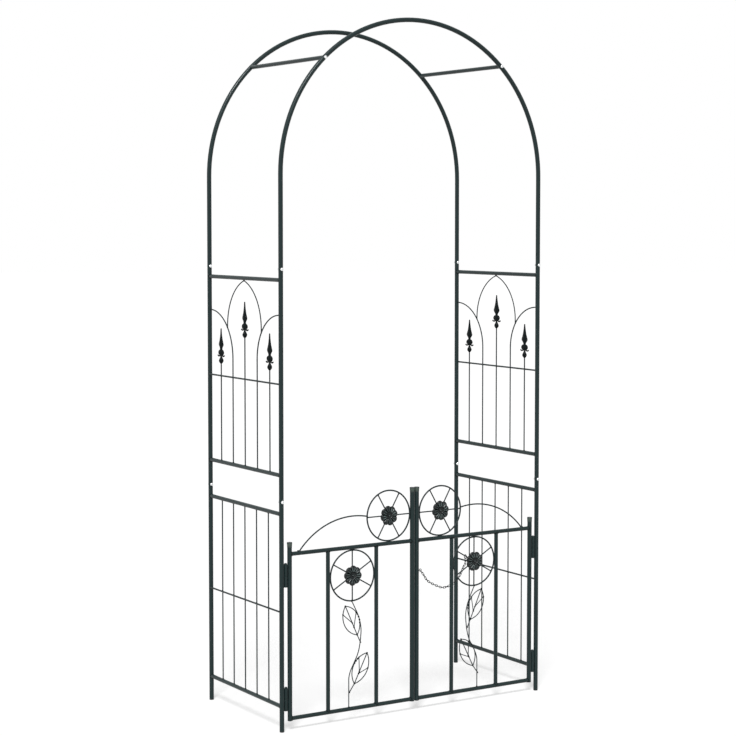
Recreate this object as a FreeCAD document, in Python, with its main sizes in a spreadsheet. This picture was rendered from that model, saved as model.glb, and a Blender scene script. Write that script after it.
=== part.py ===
# Garden arch with a pair of gate leaves, made of powder-coated steel tube and wire.
# Millimetres. The origin lies on the ground midway between the four feet, +X points to the
# right of someone facing the gate, +Y runs through the arch to its rear and +Z is up.

import FreeCAD, Part
import Sketcher
import math
import os

os.makedirs("parts", exist_ok=True)
doc = FreeCAD.newDocument("garden_arch")
Vector = FreeCAD.Vector

# Driving dimensions

DIMENSIONS = {
    # frame of posts and arches
    "arch_width": 1064,
    "arch_depth": 510,
    "post_diameter": 16,
    "post_wall": 1,
    "lower_joint_height": 777,
    "upper_joint_height": 1553,
    "arch_spring_height": 1868,
    "spigot_length": 48,
    "spigot_clearance": 0.1,
    "joint_bolt_above_seam": 20,
    "foot_flange": 4,
    "plug_depth": 16,
    "plug_edge": 1.5,
    "crossbar_angle": 47,
    # fasteners
    "bolt_diameter": 6,
    "bolt_hole_diameter": 6.4,
    "bolt_head_diameter": 11,
    "bolt_head_height": 3.5,
    "bolt_tail": 1.5,
    "nut_across_corners": 11.5,
    "nut_height": 5,
    "insert_length": 18,
    "screw_grip": 14,
    # side panels
    "rail_diameter": 14,
    "rail_wall": 1,
    "bar_diameter": 4.5,
    "mid_wire_diameter": 6,
    "lower_panel_base": 86.5,
    "lower_panel_height": 649.5,
    "upper_panel_base": 866,
    "upper_panel_height": 651,
    "lower_mid_wire_height": 407.7,
    "upper_mid_wire_height": 1171,
    "lower_bar_pitch": 83,
    "upper_bar_pitch": 87,
    "upper_bar_shift": -4.5,
    "scroll_below_rail": 117,
    "lancet_wire_diameter": 4,
    "lancet_half_width": 121,
    "lancet_height": 160,
    # cast spear finials
    "outer_spear_below_rail": 304,
    "middle_spear_below_rail": 204.5,
    "spear_length": 123.5,
    "spear_blade_width": 36,
    "spear_blade_thickness": 13,
    "spear_blade_base": 50,
    "spear_shoulder": 67.5,
    "spear_tip": 3.2,
    "spear_bulb_diameter": 16,
    "spear_bulb_height": 22,
    "spear_neck_diameter": 6.4,
    "spear_collar_diameter": 15,
    "spear_collar_foot": 30.5,
    "spear_collar_bottom": 35,
    "spear_collar_top": 41,
    "spear_waist_width": 10,
    "spear_scroll_thickness": 5,
    "spear_web_thickness": 3.6,
    # hinges
    "hinge_gap": 15,
    "hinge_barrel_diameter": 13,
    "hinge_knuckle_length": 38,
    "hinge_play": 0.3,
    "hinge_tab_width": 5,
    "hinge_pin_diameter": 7,
    "hinge_pin_clearance": 0.05,
    "hinge_pin_head_diameter": 10.5,
    "hinge_pin_head_height": 6,
    "lower_hinge_height": 70,
    "upper_hinge_height": 489,
    # gate leaves
    "leaf_gap": 2.9,
    "leaf_ground_clearance": 34,
    "bottom_rail_height": 42,
    "top_rail_height": 600,
    "hinge_stile_above_rail": 40,
    "meeting_stile_above_rail": 188,
    "leaf_plug_flange": 3,
    "cap_diameter": 18.5,
    "cap_cover": 13,
    "cap_roof": 4,
    "cap_edge": 1.5,
    "wheel_diameter": 180,
    "wheel_centre_from_middle": 254.5,
    "ring_wire_diameter": 5.5,
    "spoke_diameter": 4.5,
    "hub_diameter": 22,
    "rosette_petal_circle": 45,
    "rosette_petal_diameter": 24,
    "rosette_disc_thickness": 4,
    "rosette_boss_diameter": 15,
    "rosette_boss_height": 3,
    "crest_wire_diameter": 5,
    "crest_radius": 273,
    "crest_foot_from_stile": 33,
    "crest_end_above_hub": 4.5,
    "stem_diameter": 3.5,
    "leaf_wire_diameter": 3.5,
    "leaf_vein_diameter": 3,
    "leaf_bead_diameter": 5.6,
    "upper_twig_share": 0.608,
    "lower_twig_share": 0.157,
    # chain that loops round the meeting stiles
    "eye_height": 493.5,
    "eye_radius": 4.2,
    "eye_wire_diameter": 2.4,
    "eye_shank": 3,
    "link_length": 14.8,
    "link_width": 8,
    "link_wire_diameter": 2,
    "link_slack": 0.3,
    "end_ring_radius": 7,
    "end_ring_wire_diameter": 2.6,
    "end_ring_along_spoke": 43,
    "chain_behind_upright": 0.5,
}

sizes = doc.addObject("Spreadsheet::Sheet", "Sizes")
for row, (name, value) in enumerate(DIMENSIONS.items(), start=1):
    sizes.set(f"A{row}", name.replace("_", " "))
    sizes.set(f"B{row}", str(value))
    sizes.setAlias(f"B{row}", name)
doc.recompute()


def size(name):
    """The value of one cell of the sheet."""
    return float(sizes.get(name))


SIDES = {"left": -1, "right": 1}
ENDS = {"front": -1, "rear": 1}
BARS = 5
PETALS = 8
SPOKE_ANGLES_LOWER = (30, 90, 150, 210, 270, 330)
SPOKE_ANGLES_UPPER = (0, 60, 120, 180, 240, 300)
TALL = 4000

# Expressions that several pieces share

POST_X = "Sizes.arch_width / 2"
POST_Y = "Sizes.arch_depth / 2"
POST_RADIUS = "Sizes.post_diameter / 2"
POST_BORE = "(Sizes.post_diameter / 2 - Sizes.post_wall)"
RAIL_RADIUS = "Sizes.rail_diameter / 2"
RAIL_BORE = "(Sizes.rail_diameter / 2 - Sizes.rail_wall)"
LOWER_SEAM = "(Sizes.lower_joint_height - Sizes.joint_bolt_above_seam)"
UPPER_SEAM = "(Sizes.upper_joint_height - Sizes.joint_bolt_above_seam)"
HINGE_X = "(Sizes.arch_width / 2 - Sizes.post_diameter / 2 - Sizes.hinge_gap / 2)"
HINGE_STILE_X = "(Sizes.arch_width / 2 - Sizes.post_diameter - Sizes.hinge_gap)"
MEETING_STILE_X = "(Sizes.leaf_gap / 2 + Sizes.post_diameter / 2)"
LOWER_WHEEL_X = "Sizes.wheel_centre_from_middle"
LOWER_WHEEL_Z = "(Sizes.top_rail_height - Sizes.rail_diameter / 2 - Sizes.wheel_diameter / 2)"
UPPER_WHEEL_X = "(Sizes.leaf_gap / 2 + Sizes.post_diameter + Sizes.wheel_diameter / 2)"
UPPER_WHEEL_Z = "(Sizes.top_rail_height + Sizes.rail_diameter / 2 + Sizes.wheel_diameter / 2)"

# The same places as numbers, for the bent wires

post_x = size("arch_width") / 2
post_y = size("arch_depth") / 2
post_radius = size("post_diameter") / 2
rail_radius = size("rail_diameter") / 2
bar_radius = size("bar_diameter") / 2
wheel_radius = size("wheel_diameter") / 2
hinge_stile_x = post_x - 2 * post_radius - size("hinge_gap")
meeting_stile_x = size("leaf_gap") / 2 + post_radius
lower_wheel_x = size("wheel_centre_from_middle")
lower_wheel_z = size("top_rail_height") - rail_radius - wheel_radius
upper_wheel_x = size("leaf_gap") / 2 + 2 * post_radius + wheel_radius
upper_wheel_z = size("top_rail_height") + rail_radius + wheel_radius

TURNS = {
    "x": FreeCAD.Rotation(Vector(0, 1, 0), 90),
    "y": FreeCAD.Rotation(Vector(1, 0, 0), -90),
    "-y": FreeCAD.Rotation(Vector(1, 0, 0), 90),
    "z": FreeCAD.Rotation(),
}
nodes = []


# Ways of making a piece


def bind(item, expressions):
    """Ties properties of an object to the sheet."""
    for name, text in expressions.items():
        item.setExpression(name, text)


def place(item, turn, at):
    """Turns an object and ties the point where it stands to the sheet."""
    item.Placement = FreeCAD.Placement(Vector(), turn)
    for axis, text in zip("xyz", at):
        item.setExpression(f".Placement.Base.{axis}", text)


def rod(name, axis, radius, length, at):
    """A solid round rod that starts at a point and runs along an axis."""
    item = doc.addObject("Part::Cylinder", name)
    place(item, TURNS[axis], at)
    bind(item, {"Radius": radius, "Height": length})
    return item


def cut(name, base, tool):
    """What is left of one object outside another."""
    item = doc.addObject("Part::Cut", name)
    item.Base = base
    item.Tool = tool
    return item


def fuse(name, items):
    """Several objects welded into one solid."""
    item = doc.addObject("Part::MultiFuse", name)
    item.Shapes = items
    return item


def group(name, items):
    """Several separate solids kept as one object."""
    item = doc.addObject("Part::Compound", name)
    item.Links = items
    return item


def coped_tube(name, axis, length, at, ends):
    """A rail tube whose two ends are cut to the round of the tubes that it is welded to."""
    outside = rod(name + "_outside", axis, RAIL_RADIUS, length, at)
    bore = rod(name + "_bore", axis, RAIL_BORE, length, at)
    return cut(name, cut(name + "_hollow", outside, bore), ends)


def origin_plane(body, role):
    """One of the body's own origin planes."""
    return next(item for item in body.Origin.OriginFeatures if item.Role == role)


def flat_sketch(body, name, role):
    """An empty sketch on one of the body's origin planes."""
    sketch = body.newObject("Sketcher::SketchObject", name)
    sketch.AttachmentSupport = [(origin_plane(body, role), "")]
    sketch.MapMode = "FlatFace"
    return sketch


def pin_point(sketch, geometry, point, across, up):
    """Ties the place of one point of a sketch to the sheet."""
    for kind, text in (("DistanceX", across), ("DistanceY", up)):
        index = sketch.addConstraint(Sketcher.Constraint(kind, -1, 1, geometry, point, 1.0))
        sketch.setExpression(f"Constraints[{index}]", text)


def closed_outline(sketch, corners):
    """A closed outline of straight lines through corners that are tied to the sheet."""
    count = len(corners)
    for k in range(count):
        sketch.addGeometry(Part.LineSegment(Vector(k, 0, 0), Vector(k + 1, 1, 0)))
    for k in range(count):
        sketch.addConstraint(Sketcher.Constraint("Coincident", k, 2, (k + 1) % count, 1))
    for k, (across, up) in enumerate(corners):
        pin_point(sketch, k, 1, across, up)


def turned(name, corners):
    """A round piece: an outline of (radius, height) corners turned about its own Z axis."""
    body = doc.addObject("PartDesign::Body", name)
    outline = flat_sketch(body, name + "_outline", "XZ_Plane")
    closed_outline(outline, corners)
    solid = body.newObject("PartDesign::Revolution", name + "_turned")
    solid.Profile = outline
    solid.ReferenceAxis = (outline, ["V_Axis"])
    solid.Angle = 360
    return body


def cross_hole(body, name, height):
    """A bolt hole drilled front to back through a turned tube."""
    outline = flat_sketch(body, name + "_outline", "XZ_Plane")
    outline.addGeometry(Part.Circle(Vector(0, 1, 0), Vector(0, 0, 1), 1))
    radius = outline.addConstraint(Sketcher.Constraint("Radius", 0, 1.0))
    outline.setExpression(f"Constraints[{radius}]", "Sizes.bolt_hole_diameter / 2")
    pin_point(outline, 0, 3, "0", height)
    hole = body.newObject("PartDesign::Pocket", name)
    hole.Profile = outline
    hole.Type = "ThroughAll"
    hole.SideType = "Symmetric"


def shaped(name, shape):
    """A bent piece whose shape is worked out from the sheet's values."""
    item = doc.addObject("Part::Feature", name)
    item.Shape = shape
    return item


def node(item, label):
    """Makes an object one of the parts that are written out."""
    item.Label = label
    nodes.append(item)
    return item


def bent_wire(edges, radius):
    """A round wire along edges that run smoothly into each other."""
    first = edges[0]
    start = first.valueAt(first.FirstParameter)
    heading = first.tangentAt(first.FirstParameter)
    section = Part.Wire([Part.makeCircle(radius, start, heading)])
    return Part.Wire(edges).makePipeShell([section], True, False)


def arc(start, middle, end):
    """A round arc through three points."""
    return Part.Arc(start, middle, end).toShape()


def line(start, end):
    """A straight edge."""
    return Part.LineSegment(start, end).toShape()


def circle_middle(start, end, radius, side):
    """The middle point of a short arc of a given radius, bulging to one side of its chord."""
    chord = end - start
    half = chord.Length / 2
    sagitta = radius - math.sqrt(radius**2 - half**2)
    across = chord.cross(Vector(0, 1, 0)).normalize()
    return (start + end) / 2 + across * side * sagitta


def rounded_path(points):
    """Straight runs joined by tangent arcs, each as large as its two runs allow."""
    edges = []
    here = points[0]
    for before, corner, after in zip(points, points[1:], points[2:]):
        arriving = (corner - before).normalize()
        leaving = (after - corner).normalize()
        reach = 0.45 * min((corner - before).Length, (after - corner).Length)
        half_turn = arriving.getAngle(leaving) / 2
        radius = reach / math.tan(half_turn)
        start = corner - arriving * reach
        end = corner + leaving * reach
        inward = (leaving - arriving).normalize()
        centre = corner + inward * (radius / math.cos(half_turn))
        middle = centre - inward * radius
        edges.append(line(here, start))
        edges.append(arc(start, middle, end))
        here = end
    edges.append(line(here, points[-1]))
    return edges


# Posts: each is a lower and an upper tube, and a drawn-in spigot at the top of a tube plugs
# into the one above

SPIGOT_RADIUS = f"({POST_BORE} - Sizes.spigot_clearance)"
SPIGOT_BORE = f"({SPIGOT_RADIUS} - Sizes.post_wall)"
NECK = "3 * Sizes.post_wall"


def post_tube(name, foot, seam):
    """A post tube from its foot to its shoulder, with the spigot above the shoulder."""
    return turned(
        name,
        [
            (POST_BORE, foot),
            (POST_RADIUS, foot),
            (POST_RADIUS, seam),
            (SPIGOT_RADIUS, seam),
            (SPIGOT_RADIUS, f"{seam} + Sizes.spigot_length"),
            (SPIGOT_BORE, f"{seam} + Sizes.spigot_length"),
            (SPIGOT_BORE, f"{seam} - {NECK} / 3"),
            (POST_BORE, f"{seam} - {NECK}"),
        ],
    )


for end, depth_sign in ENDS.items():
    for side, sign in SIDES.items():
        corner = (f"{sign} * {POST_X}", f"{depth_sign} * {POST_Y}", "0")
        name = f"{end}_{side}_lower_post"
        lower = post_tube(name, "Sizes.foot_flange", LOWER_SEAM)
        cross_hole(lower, name + "_bolt_hole", "Sizes.lower_joint_height")
        place(lower, TURNS["z"], corner)
        node(lower, name)
        name = f"{end}_{side}_upper_post"
        upper = post_tube(name, LOWER_SEAM, UPPER_SEAM)
        cross_hole(upper, name + "_lower_bolt_hole", "Sizes.lower_joint_height")
        cross_hole(upper, name + "_upper_bolt_hole", "Sizes.upper_joint_height")
        place(upper, TURNS["z"], corner)
        node(upper, name)

# Foot plugs: plastic inserts that close the open feet and carry the arch

foot_plugs = []
for end, depth_sign in ENDS.items():
    for side, sign in SIDES.items():
        plug = turned(
            f"{end}_{side}_foot_plug",
            [
                ("0", "0"),
                (f"{POST_RADIUS} - Sizes.plug_edge", "0"),
                (POST_RADIUS, "Sizes.plug_edge"),
                (POST_RADIUS, "Sizes.foot_flange"),
                (POST_BORE, "Sizes.foot_flange"),
                (POST_BORE, "Sizes.foot_flange + Sizes.plug_depth"),
                ("0", "Sizes.foot_flange + Sizes.plug_depth"),
            ],
        )
        place(plug, TURNS["z"], (f"{sign} * {POST_X}", f"{depth_sign} * {POST_Y}", "0"))
        foot_plugs.append(plug)
node(group("foot_plug_set", foot_plugs), "post_foot_plugs")

# Arches: a half circle of the post tube on two straight legs that sit on the upper spigots


def half_ring(name, depth_sign, radius):
    """The upper half of a ring of tube, across the arch."""
    ring = doc.addObject("Part::Torus", name)
    place(ring, TURNS["-y"], ("0", f"{depth_sign} * {POST_Y}", "Sizes.arch_spring_height"))
    bind(ring, {"Radius1": POST_X, "Radius2": radius})
    ring.Angle3 = 180
    return ring


def arch_solid(name, depth_sign, radius):
    """The half ring and its two legs as one solid of a given tube radius."""
    leg_length = f"Sizes.arch_spring_height - {UPPER_SEAM}"
    pieces = [half_ring(name + "_bow", depth_sign, radius)]
    for side, sign in SIDES.items():
        at = (f"{sign} * {POST_X}", f"{depth_sign} * {POST_Y}", UPPER_SEAM)
        pieces.append(rod(f"{name}_{side}_leg", "z", radius, leg_length, at))
    return fuse(name, pieces)


CROSSBAR_X = "(Sizes.arch_width / 2 * cos(Sizes.crossbar_angle * 1 deg))"
CROSSBAR_Z = (
    "(Sizes.arch_spring_height + Sizes.arch_width / 2 * sin(Sizes.crossbar_angle * 1 deg))"
)

for end, depth_sign in ENDS.items():
    holes = []
    hole_start = f"{depth_sign} * {POST_Y} - Sizes.post_diameter"
    for side, sign in SIDES.items():
        for where, x, z in (
            ("leg", POST_X, "Sizes.upper_joint_height"),
            ("crossbar", CROSSBAR_X, CROSSBAR_Z),
        ):
            at = (f"{sign} * {x}", hole_start, z)
            hole = rod(
                f"{end}_arch_{side}_{where}_hole",
                "y",
                "Sizes.bolt_hole_diameter / 2",
                "Sizes.post_diameter * 2",
                at,
            )
            holes.append(hole)
    outside = arch_solid(f"{end}_arch_outside", depth_sign, POST_RADIUS)
    inside = arch_solid(f"{end}_arch_inside", depth_sign, POST_BORE)
    hollow = cut(f"{end}_arch_hollow", outside, inside)
    drilled = cut(f"{end}_arch_drilled", hollow, group(f"{end}_arch_holes", holes))
    node(drilled, f"{end}_arch_tube")

# Crossbars: two tubes that hold the arches apart, with a threaded insert in each end

arch_bows = group(
    "arch_bows",
    [half_ring(f"{end}_bow_for_cope", sign, POST_RADIUS) for end, sign in ENDS.items()],
)
for side, sign in SIDES.items():
    at = (f"{sign} * {CROSSBAR_X}", f"-{POST_Y}", CROSSBAR_Z)
    bar = coped_tube(f"{side}_crossbar", "y", "Sizes.arch_depth", at, arch_bows)
    node(bar, f"{side}_arch_crossbar")

inserts = []
screws = []
for end, depth_sign in ENDS.items():
    for side, sign in SIDES.items():
        x = f"{sign} * {CROSSBAR_X}"
        name = f"{end}_{side}_crossbar_insert"
        inner_face = f"({POST_Y} - {POST_RADIUS} - Sizes.rail_wall)"
        start = f"{inner_face} - Sizes.insert_length" if depth_sign > 0 else f"-1 * {inner_face}"
        at = (x, start, CROSSBAR_Z)
        blank = rod(name + "_blank", "y", RAIL_BORE, "Sizes.insert_length", at)
        thread = rod(name + "_thread", "y", "Sizes.bolt_diameter / 2", "Sizes.insert_length", at)
        inserts.append(cut(name, blank, thread))
        screw = turned(
            f"{end}_{side}_crossbar_screw",
            [
                ("0", "-Sizes.bolt_head_height"),
                ("Sizes.bolt_head_diameter * 0.3", "-Sizes.bolt_head_height"),
                ("Sizes.bolt_head_diameter / 2", "-Sizes.bolt_head_height * 0.4"),
                ("Sizes.bolt_head_diameter / 2", "0"),
                ("Sizes.bolt_diameter / 2", "0"),
                ("Sizes.bolt_diameter / 2", "Sizes.post_diameter + Sizes.screw_grip"),
                ("0", "Sizes.post_diameter + Sizes.screw_grip"),
            ],
        )
        seat = f"{depth_sign} * ({POST_Y} + {POST_RADIUS})"
        place(screw, TURNS["y" if depth_sign < 0 else "-y"], (x, seat, CROSSBAR_Z))
        screws.append(screw)
node(group("crossbar_insert_set", inserts), "crossbar_thread_inserts")
node(group("crossbar_screw_set", screws), "crossbar_screws")

# Joint bolts and nuts: one pair through each spigot joint, heads to the front

bolts = []
nuts = []
SHANK = "(Sizes.post_diameter + Sizes.nut_height + Sizes.bolt_tail)"
for end, depth_sign in ENDS.items():
    for side, sign in SIDES.items():
        for level in ("lower", "upper"):
            name = f"{end}_{side}_{level}_joint"
            x = f"{sign} * {POST_X}"
            z = f"Sizes.{level}_joint_height"
            bolt = turned(
                name + "_bolt",
                [
                    ("0", "-Sizes.bolt_head_height"),
                    ("Sizes.bolt_head_diameter * 0.3", "-Sizes.bolt_head_height"),
                    ("Sizes.bolt_head_diameter / 2", "-Sizes.bolt_head_height * 0.4"),
                    ("Sizes.bolt_head_diameter / 2", "0"),
                    ("Sizes.bolt_diameter / 2", "0"),
                    ("Sizes.bolt_diameter / 2", SHANK),
                    ("0", SHANK),
                ],
            )
            place(bolt, TURNS["y"], (x, f"{depth_sign} * {POST_Y} - {POST_RADIUS}", z))
            bolts.append(bolt)
            blank = doc.addObject("Part::Prism", name + "_nut_blank")
            blank.Polygon = 6
            behind = (x, f"{depth_sign} * {POST_Y} + {POST_RADIUS}", z)
            place(blank, TURNS["y"], behind)
            bind(
                blank,
                {"Circumradius": "Sizes.nut_across_corners / 2", "Height": "Sizes.nut_height"},
            )
            thread = rod(
                name + "_nut_thread", "y", "Sizes.bolt_diameter / 2", "Sizes.nut_height", behind
            )
            nuts.append(cut(name + "_nut", blank, thread))
node(group("joint_bolt_set", bolts), "post_joint_bolts")
node(group("joint_nut_set", nuts), "post_joint_nuts")

# Side panels: a lower and an upper pair of rails between the posts of each side

PANELS = {
    "lower": ("Sizes.lower_panel_base", "Sizes.lower_panel_height"),
    "upper": ("Sizes.upper_panel_base", "Sizes.upper_panel_height"),
}
post_envelopes = {}

for side, sign in SIDES.items():
    x = f"{sign} * {POST_X}"
    posts = group(
        f"{side}_post_envelopes",
        [
            rod(f"{end}_{side}_post_envelope", "z", POST_RADIUS, str(TALL), (x, f"{s} * {POST_Y}", "0"))
            for end, s in ENDS.items()
        ],
    )
    post_envelopes[side] = posts
    for level, (base, height) in PANELS.items():
        rails = []
        for place_name, z in (("bottom", base), ("top", f"{base} + {height}")):
            name = f"{side}_{level}_panel_{place_name}_rail"
            rails.append(coped_tube(name, "y", "Sizes.arch_depth", (x, f"-{POST_Y}", z), posts))
        node(group(f"{side}_{level}_rail_pair", rails), f"{side}_{level}_panel_rails")

# Lower panel bars: straight bars welded between the rails

for side, sign in SIDES.items():
    bars = []
    for k in range(BARS):
        at = (
            f"{sign} * {POST_X}",
            f"{k - BARS // 2} * Sizes.lower_bar_pitch",
            f"Sizes.lower_panel_base + {RAIL_RADIUS}",
        )
        length = "Sizes.lower_panel_height - Sizes.rail_diameter"
        bars.append(rod(f"{side}_lower_bar_{k + 1}", "z", "Sizes.bar_diameter / 2", length, at))
    node(group(f"{side}_lower_bar_set", bars), f"{side}_lower_panel_bars")

# Upper panel bars: the first, third and fifth end under a spear finial, and the second and
# fourth bend in a quarter circle to the nearest post

upper_base = size("upper_panel_base") + rail_radius
upper_top_rail = size("upper_panel_base") + size("upper_panel_height")
scroll_height = upper_top_rail - size("scroll_below_rail")
spear_drops = {0: "outer_spear_below_rail", 2: "middle_spear_below_rail", 4: "outer_spear_below_rail"}


def upper_bar_y(k):
    """How far back the upper panel's bar stands."""
    return (k - 2) * size("upper_bar_pitch") + size("upper_bar_shift")


def scroll_edges(x, k):
    """The centre line of a bar that bends to the nearest post, and the arc's centre."""
    y = upper_bar_y(k)
    end = math.copysign(post_y - post_radius, y)
    radius = abs(end - y)
    turn_height = scroll_height - radius
    middle = Vector(
        x,
        end - math.copysign(radius * math.cos(math.radians(45)), y),
        turn_height + radius * math.sin(math.radians(45)),
    )
    return [
        line(Vector(x, y, upper_base), Vector(x, y, turn_height)),
        arc(Vector(x, y, turn_height), middle, Vector(x, end, scroll_height)),
    ]


for side, sign in SIDES.items():
    bars = []
    for k, drop in spear_drops.items():
        at = (
            f"{sign} * {POST_X}",
            f"{k - 2} * Sizes.upper_bar_pitch + Sizes.upper_bar_shift",
            f"Sizes.upper_panel_base + {RAIL_RADIUS}",
        )
        length = f"Sizes.upper_panel_height - Sizes.{drop} - {RAIL_RADIUS}"
        bars.append(rod(f"{side}_upper_bar_{k + 1}", "z", "Sizes.bar_diameter / 2", length, at))
    for k in (1, 3):
        wire = bent_wire(scroll_edges(sign * post_x, k), bar_radius)
        bars.append(shaped(f"{side}_upper_bar_{k + 1}", wire))
    node(group(f"{side}_upper_bar_set", bars), f"{side}_upper_panel_bars")

# Mid wires: one wire across each panel, welded to the outer face of its bars and cut to the
# round of the posts

mid_wires = []
for side, sign in SIDES.items():
    for level in PANELS:
        beside = "(Sizes.bar_diameter / 2 + Sizes.mid_wire_diameter / 2)"
        reach = f"({POST_Y} - sqrt(({POST_RADIUS})^2 - {beside}^2))"
        at = (f"{sign} * ({POST_X} + {beside})", f"-1 * {reach}", f"Sizes.{level}_mid_wire_height")
        name = f"{side}_{level}_mid_wire"
        straight = rod(name + "_rod", "y", "Sizes.mid_wire_diameter / 2", f"2 * {reach}", at)
        mid_wires.append(cut(name, straight, post_envelopes[side]))
node(group("mid_wire_set", mid_wires), "panel_mid_wires")

# Lancet wires: a pointed arch of wire under each top rail, its feet on the bent bars

lancet_radius = size("lancet_wire_diameter") / 2
lancets = []
for side, sign in SIDES.items():
    x = sign * post_x
    apex = Vector(x, 0, upper_top_rail - rail_radius - lancet_radius)
    half = size("lancet_half_width")
    rise = size("lancet_height")
    bow = (half**2 + rise**2) / (2 * half)
    legs = []
    for k in (1, 3):
        foot_side = math.copysign(1, upper_bar_y(k))
        scroll_end = post_y - post_radius
        scroll_radius = scroll_end - abs(upper_bar_y(k))
        foot_height = (
            scroll_height
            - scroll_radius
            + math.sqrt(scroll_radius**2 - (scroll_end - half) ** 2)
        )
        foot = Vector(x, foot_side * half, foot_height)
        spring = Vector(x, foot_side * half, apex.z - rise)
        half_turn = math.asin(rise / bow) / 2
        middle = Vector(
            x,
            foot_side * (half - bow + bow * math.cos(half_turn)),
            spring.z + bow * math.sin(half_turn),
        )
        leg = bent_wire([line(foot, spring), arc(spring, middle, apex)], lancet_radius)
        legs.append(leg.cut(bent_wire(scroll_edges(x, k), bar_radius)))
    tip = Part.makeSphere(lancet_radius, apex)
    lancets.append(shaped(f"{side}_lancet", legs[0].fuse([legs[1], tip]).removeSplitter()))
node(group("lancet_set", lancets), "panel_lancet_wires")

# Spear finials: cast points with a bulb, a collar between two scrolls and a four-sided blade

spear_lathe = turned(
    "spear_lathe",
    [
        ("0", "0"),
        ("Sizes.spear_bulb_diameter * 0.3", "0"),
        ("Sizes.spear_bulb_diameter / 2", "Sizes.spear_bulb_height * 0.25"),
        ("Sizes.spear_bulb_diameter * 0.42", "Sizes.spear_bulb_height * 0.55"),
        ("Sizes.spear_neck_diameter / 2", "Sizes.spear_bulb_height"),
        ("Sizes.spear_neck_diameter / 2", "Sizes.spear_collar_foot"),
        ("Sizes.spear_collar_diameter / 2", "Sizes.spear_collar_bottom"),
        ("Sizes.spear_collar_diameter / 2", "Sizes.spear_collar_top"),
        ("Sizes.spear_neck_diameter / 2", "Sizes.spear_blade_base"),
        ("0", "Sizes.spear_blade_base"),
    ],
)

# On each side of the collar a scroll leaves the waist, bows outward and comes back, with a thin
# web inside the bow and a horn below it. Points are in millimetres outward from the axis and
# down from the foot of the blade

SCROLL_ROUTE = ((3.5, 3.0), (14.5, 3.0), (20.0, 11.5), (14.5, 20.0), (3.5, 20.5))
HORN_ROUTE = ((3.0, 22.5), (14.0, 26.0), (24.5, 24.5))


def beside_collar(route, sign):
    """Points of a route on one side of the collar."""
    return [
        Vector(0, sign * outward, size("spear_blade_base") - down) for outward, down in route
    ]


spear_scrolls = []
scroll_radius = size("spear_scroll_thickness") / 2
web_thickness = size("spear_web_thickness")
for hand, sign in SIDES.items():
    bow = beside_collar(SCROLL_ROUTE, sign)
    horn = beside_collar(HORN_ROUTE, sign)
    path = rounded_path(bow)
    web = Part.Face(Part.Wire(path + [line(bow[-1], bow[0])]))
    web.translate(Vector(-web_thickness / 2, 0, 0))
    pieces = [
        bent_wire(rounded_path(horn), scroll_radius),
        Part.makeSphere(scroll_radius, horn[-1]),
        web.extrude(Vector(web_thickness, 0, 0)),
    ]
    scroll = bent_wire(path, scroll_radius).fuse(pieces)
    spear_scrolls.append(shaped(f"spear_{hand}_scroll", scroll))


def blade_section(width, thickness, height):
    """One four-sided section of the spear's blade."""
    corners = [
        Vector(0, -width / 2, height),
        Vector(thickness / 2, 0, height),
        Vector(0, width / 2, height),
        Vector(-thickness / 2, 0, height),
    ]
    return Part.makePolygon(corners + corners[:1])


waist = size("spear_waist_width")
blade = Part.makeLoft(
    [
        blade_section(waist, waist, size("spear_blade_base") - 1),
        blade_section(
            size("spear_blade_width"), size("spear_blade_thickness"), size("spear_shoulder")
        ),
        blade_section(size("spear_tip"), size("spear_tip"), size("spear_length")),
    ],
    True,
    True,
)
spear = fuse("spear_pattern", [spear_lathe, *spear_scrolls, shaped("spear_blade", blade)])
doc.recompute()
spears = []
for side, sign in SIDES.items():
    for k, drop in spear_drops.items():
        item = shaped(f"{side}_spear_{k + 1}", spear.Shape)
        item.Placement = FreeCAD.Placement(
            Vector(sign * post_x, upper_bar_y(k), upper_top_rail - size(drop)), FreeCAD.Rotation()
        )
        spears.append(item)
node(group("spear_set", spears), "spear_finials")

# Hinges: a knuckle welded to the post, a knuckle welded to the gate and a headed pin


def knuckle(name, sign, height, bore, tube_x):
    """A short barrel with a tab whose end is cut to the round of the tube it is welded to."""
    at = (f"{sign} * {HINGE_X}", f"-{POST_Y}", height)
    length = "Sizes.hinge_knuckle_length"
    barrel = rod(name + "_barrel", "z", "Sizes.hinge_barrel_diameter / 2", length, at)
    tab = doc.addObject("Part::Box", name + "_tab")
    tab_start = f"min({sign} * {HINGE_X}; {sign} * {tube_x})"
    place(tab, TURNS["z"], (tab_start, f"-{POST_Y} - Sizes.hinge_tab_width / 2", height))
    bind(
        tab,
        {
            "Length": f"abs({HINGE_X} - {tube_x})",
            "Width": "Sizes.hinge_tab_width",
            "Height": length,
        },
    )
    welded = fuse(name + "_welded", [barrel, tab])
    at_tube = (f"{sign} * {tube_x}", f"-{POST_Y}", height)
    holes = group(
        name + "_holes",
        [
            rod(name + "_bore", "z", bore, length, at),
            rod(name + "_tube", "z", POST_RADIUS, length, at_tube),
        ],
    )
    return cut(name, welded, holes)


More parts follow.
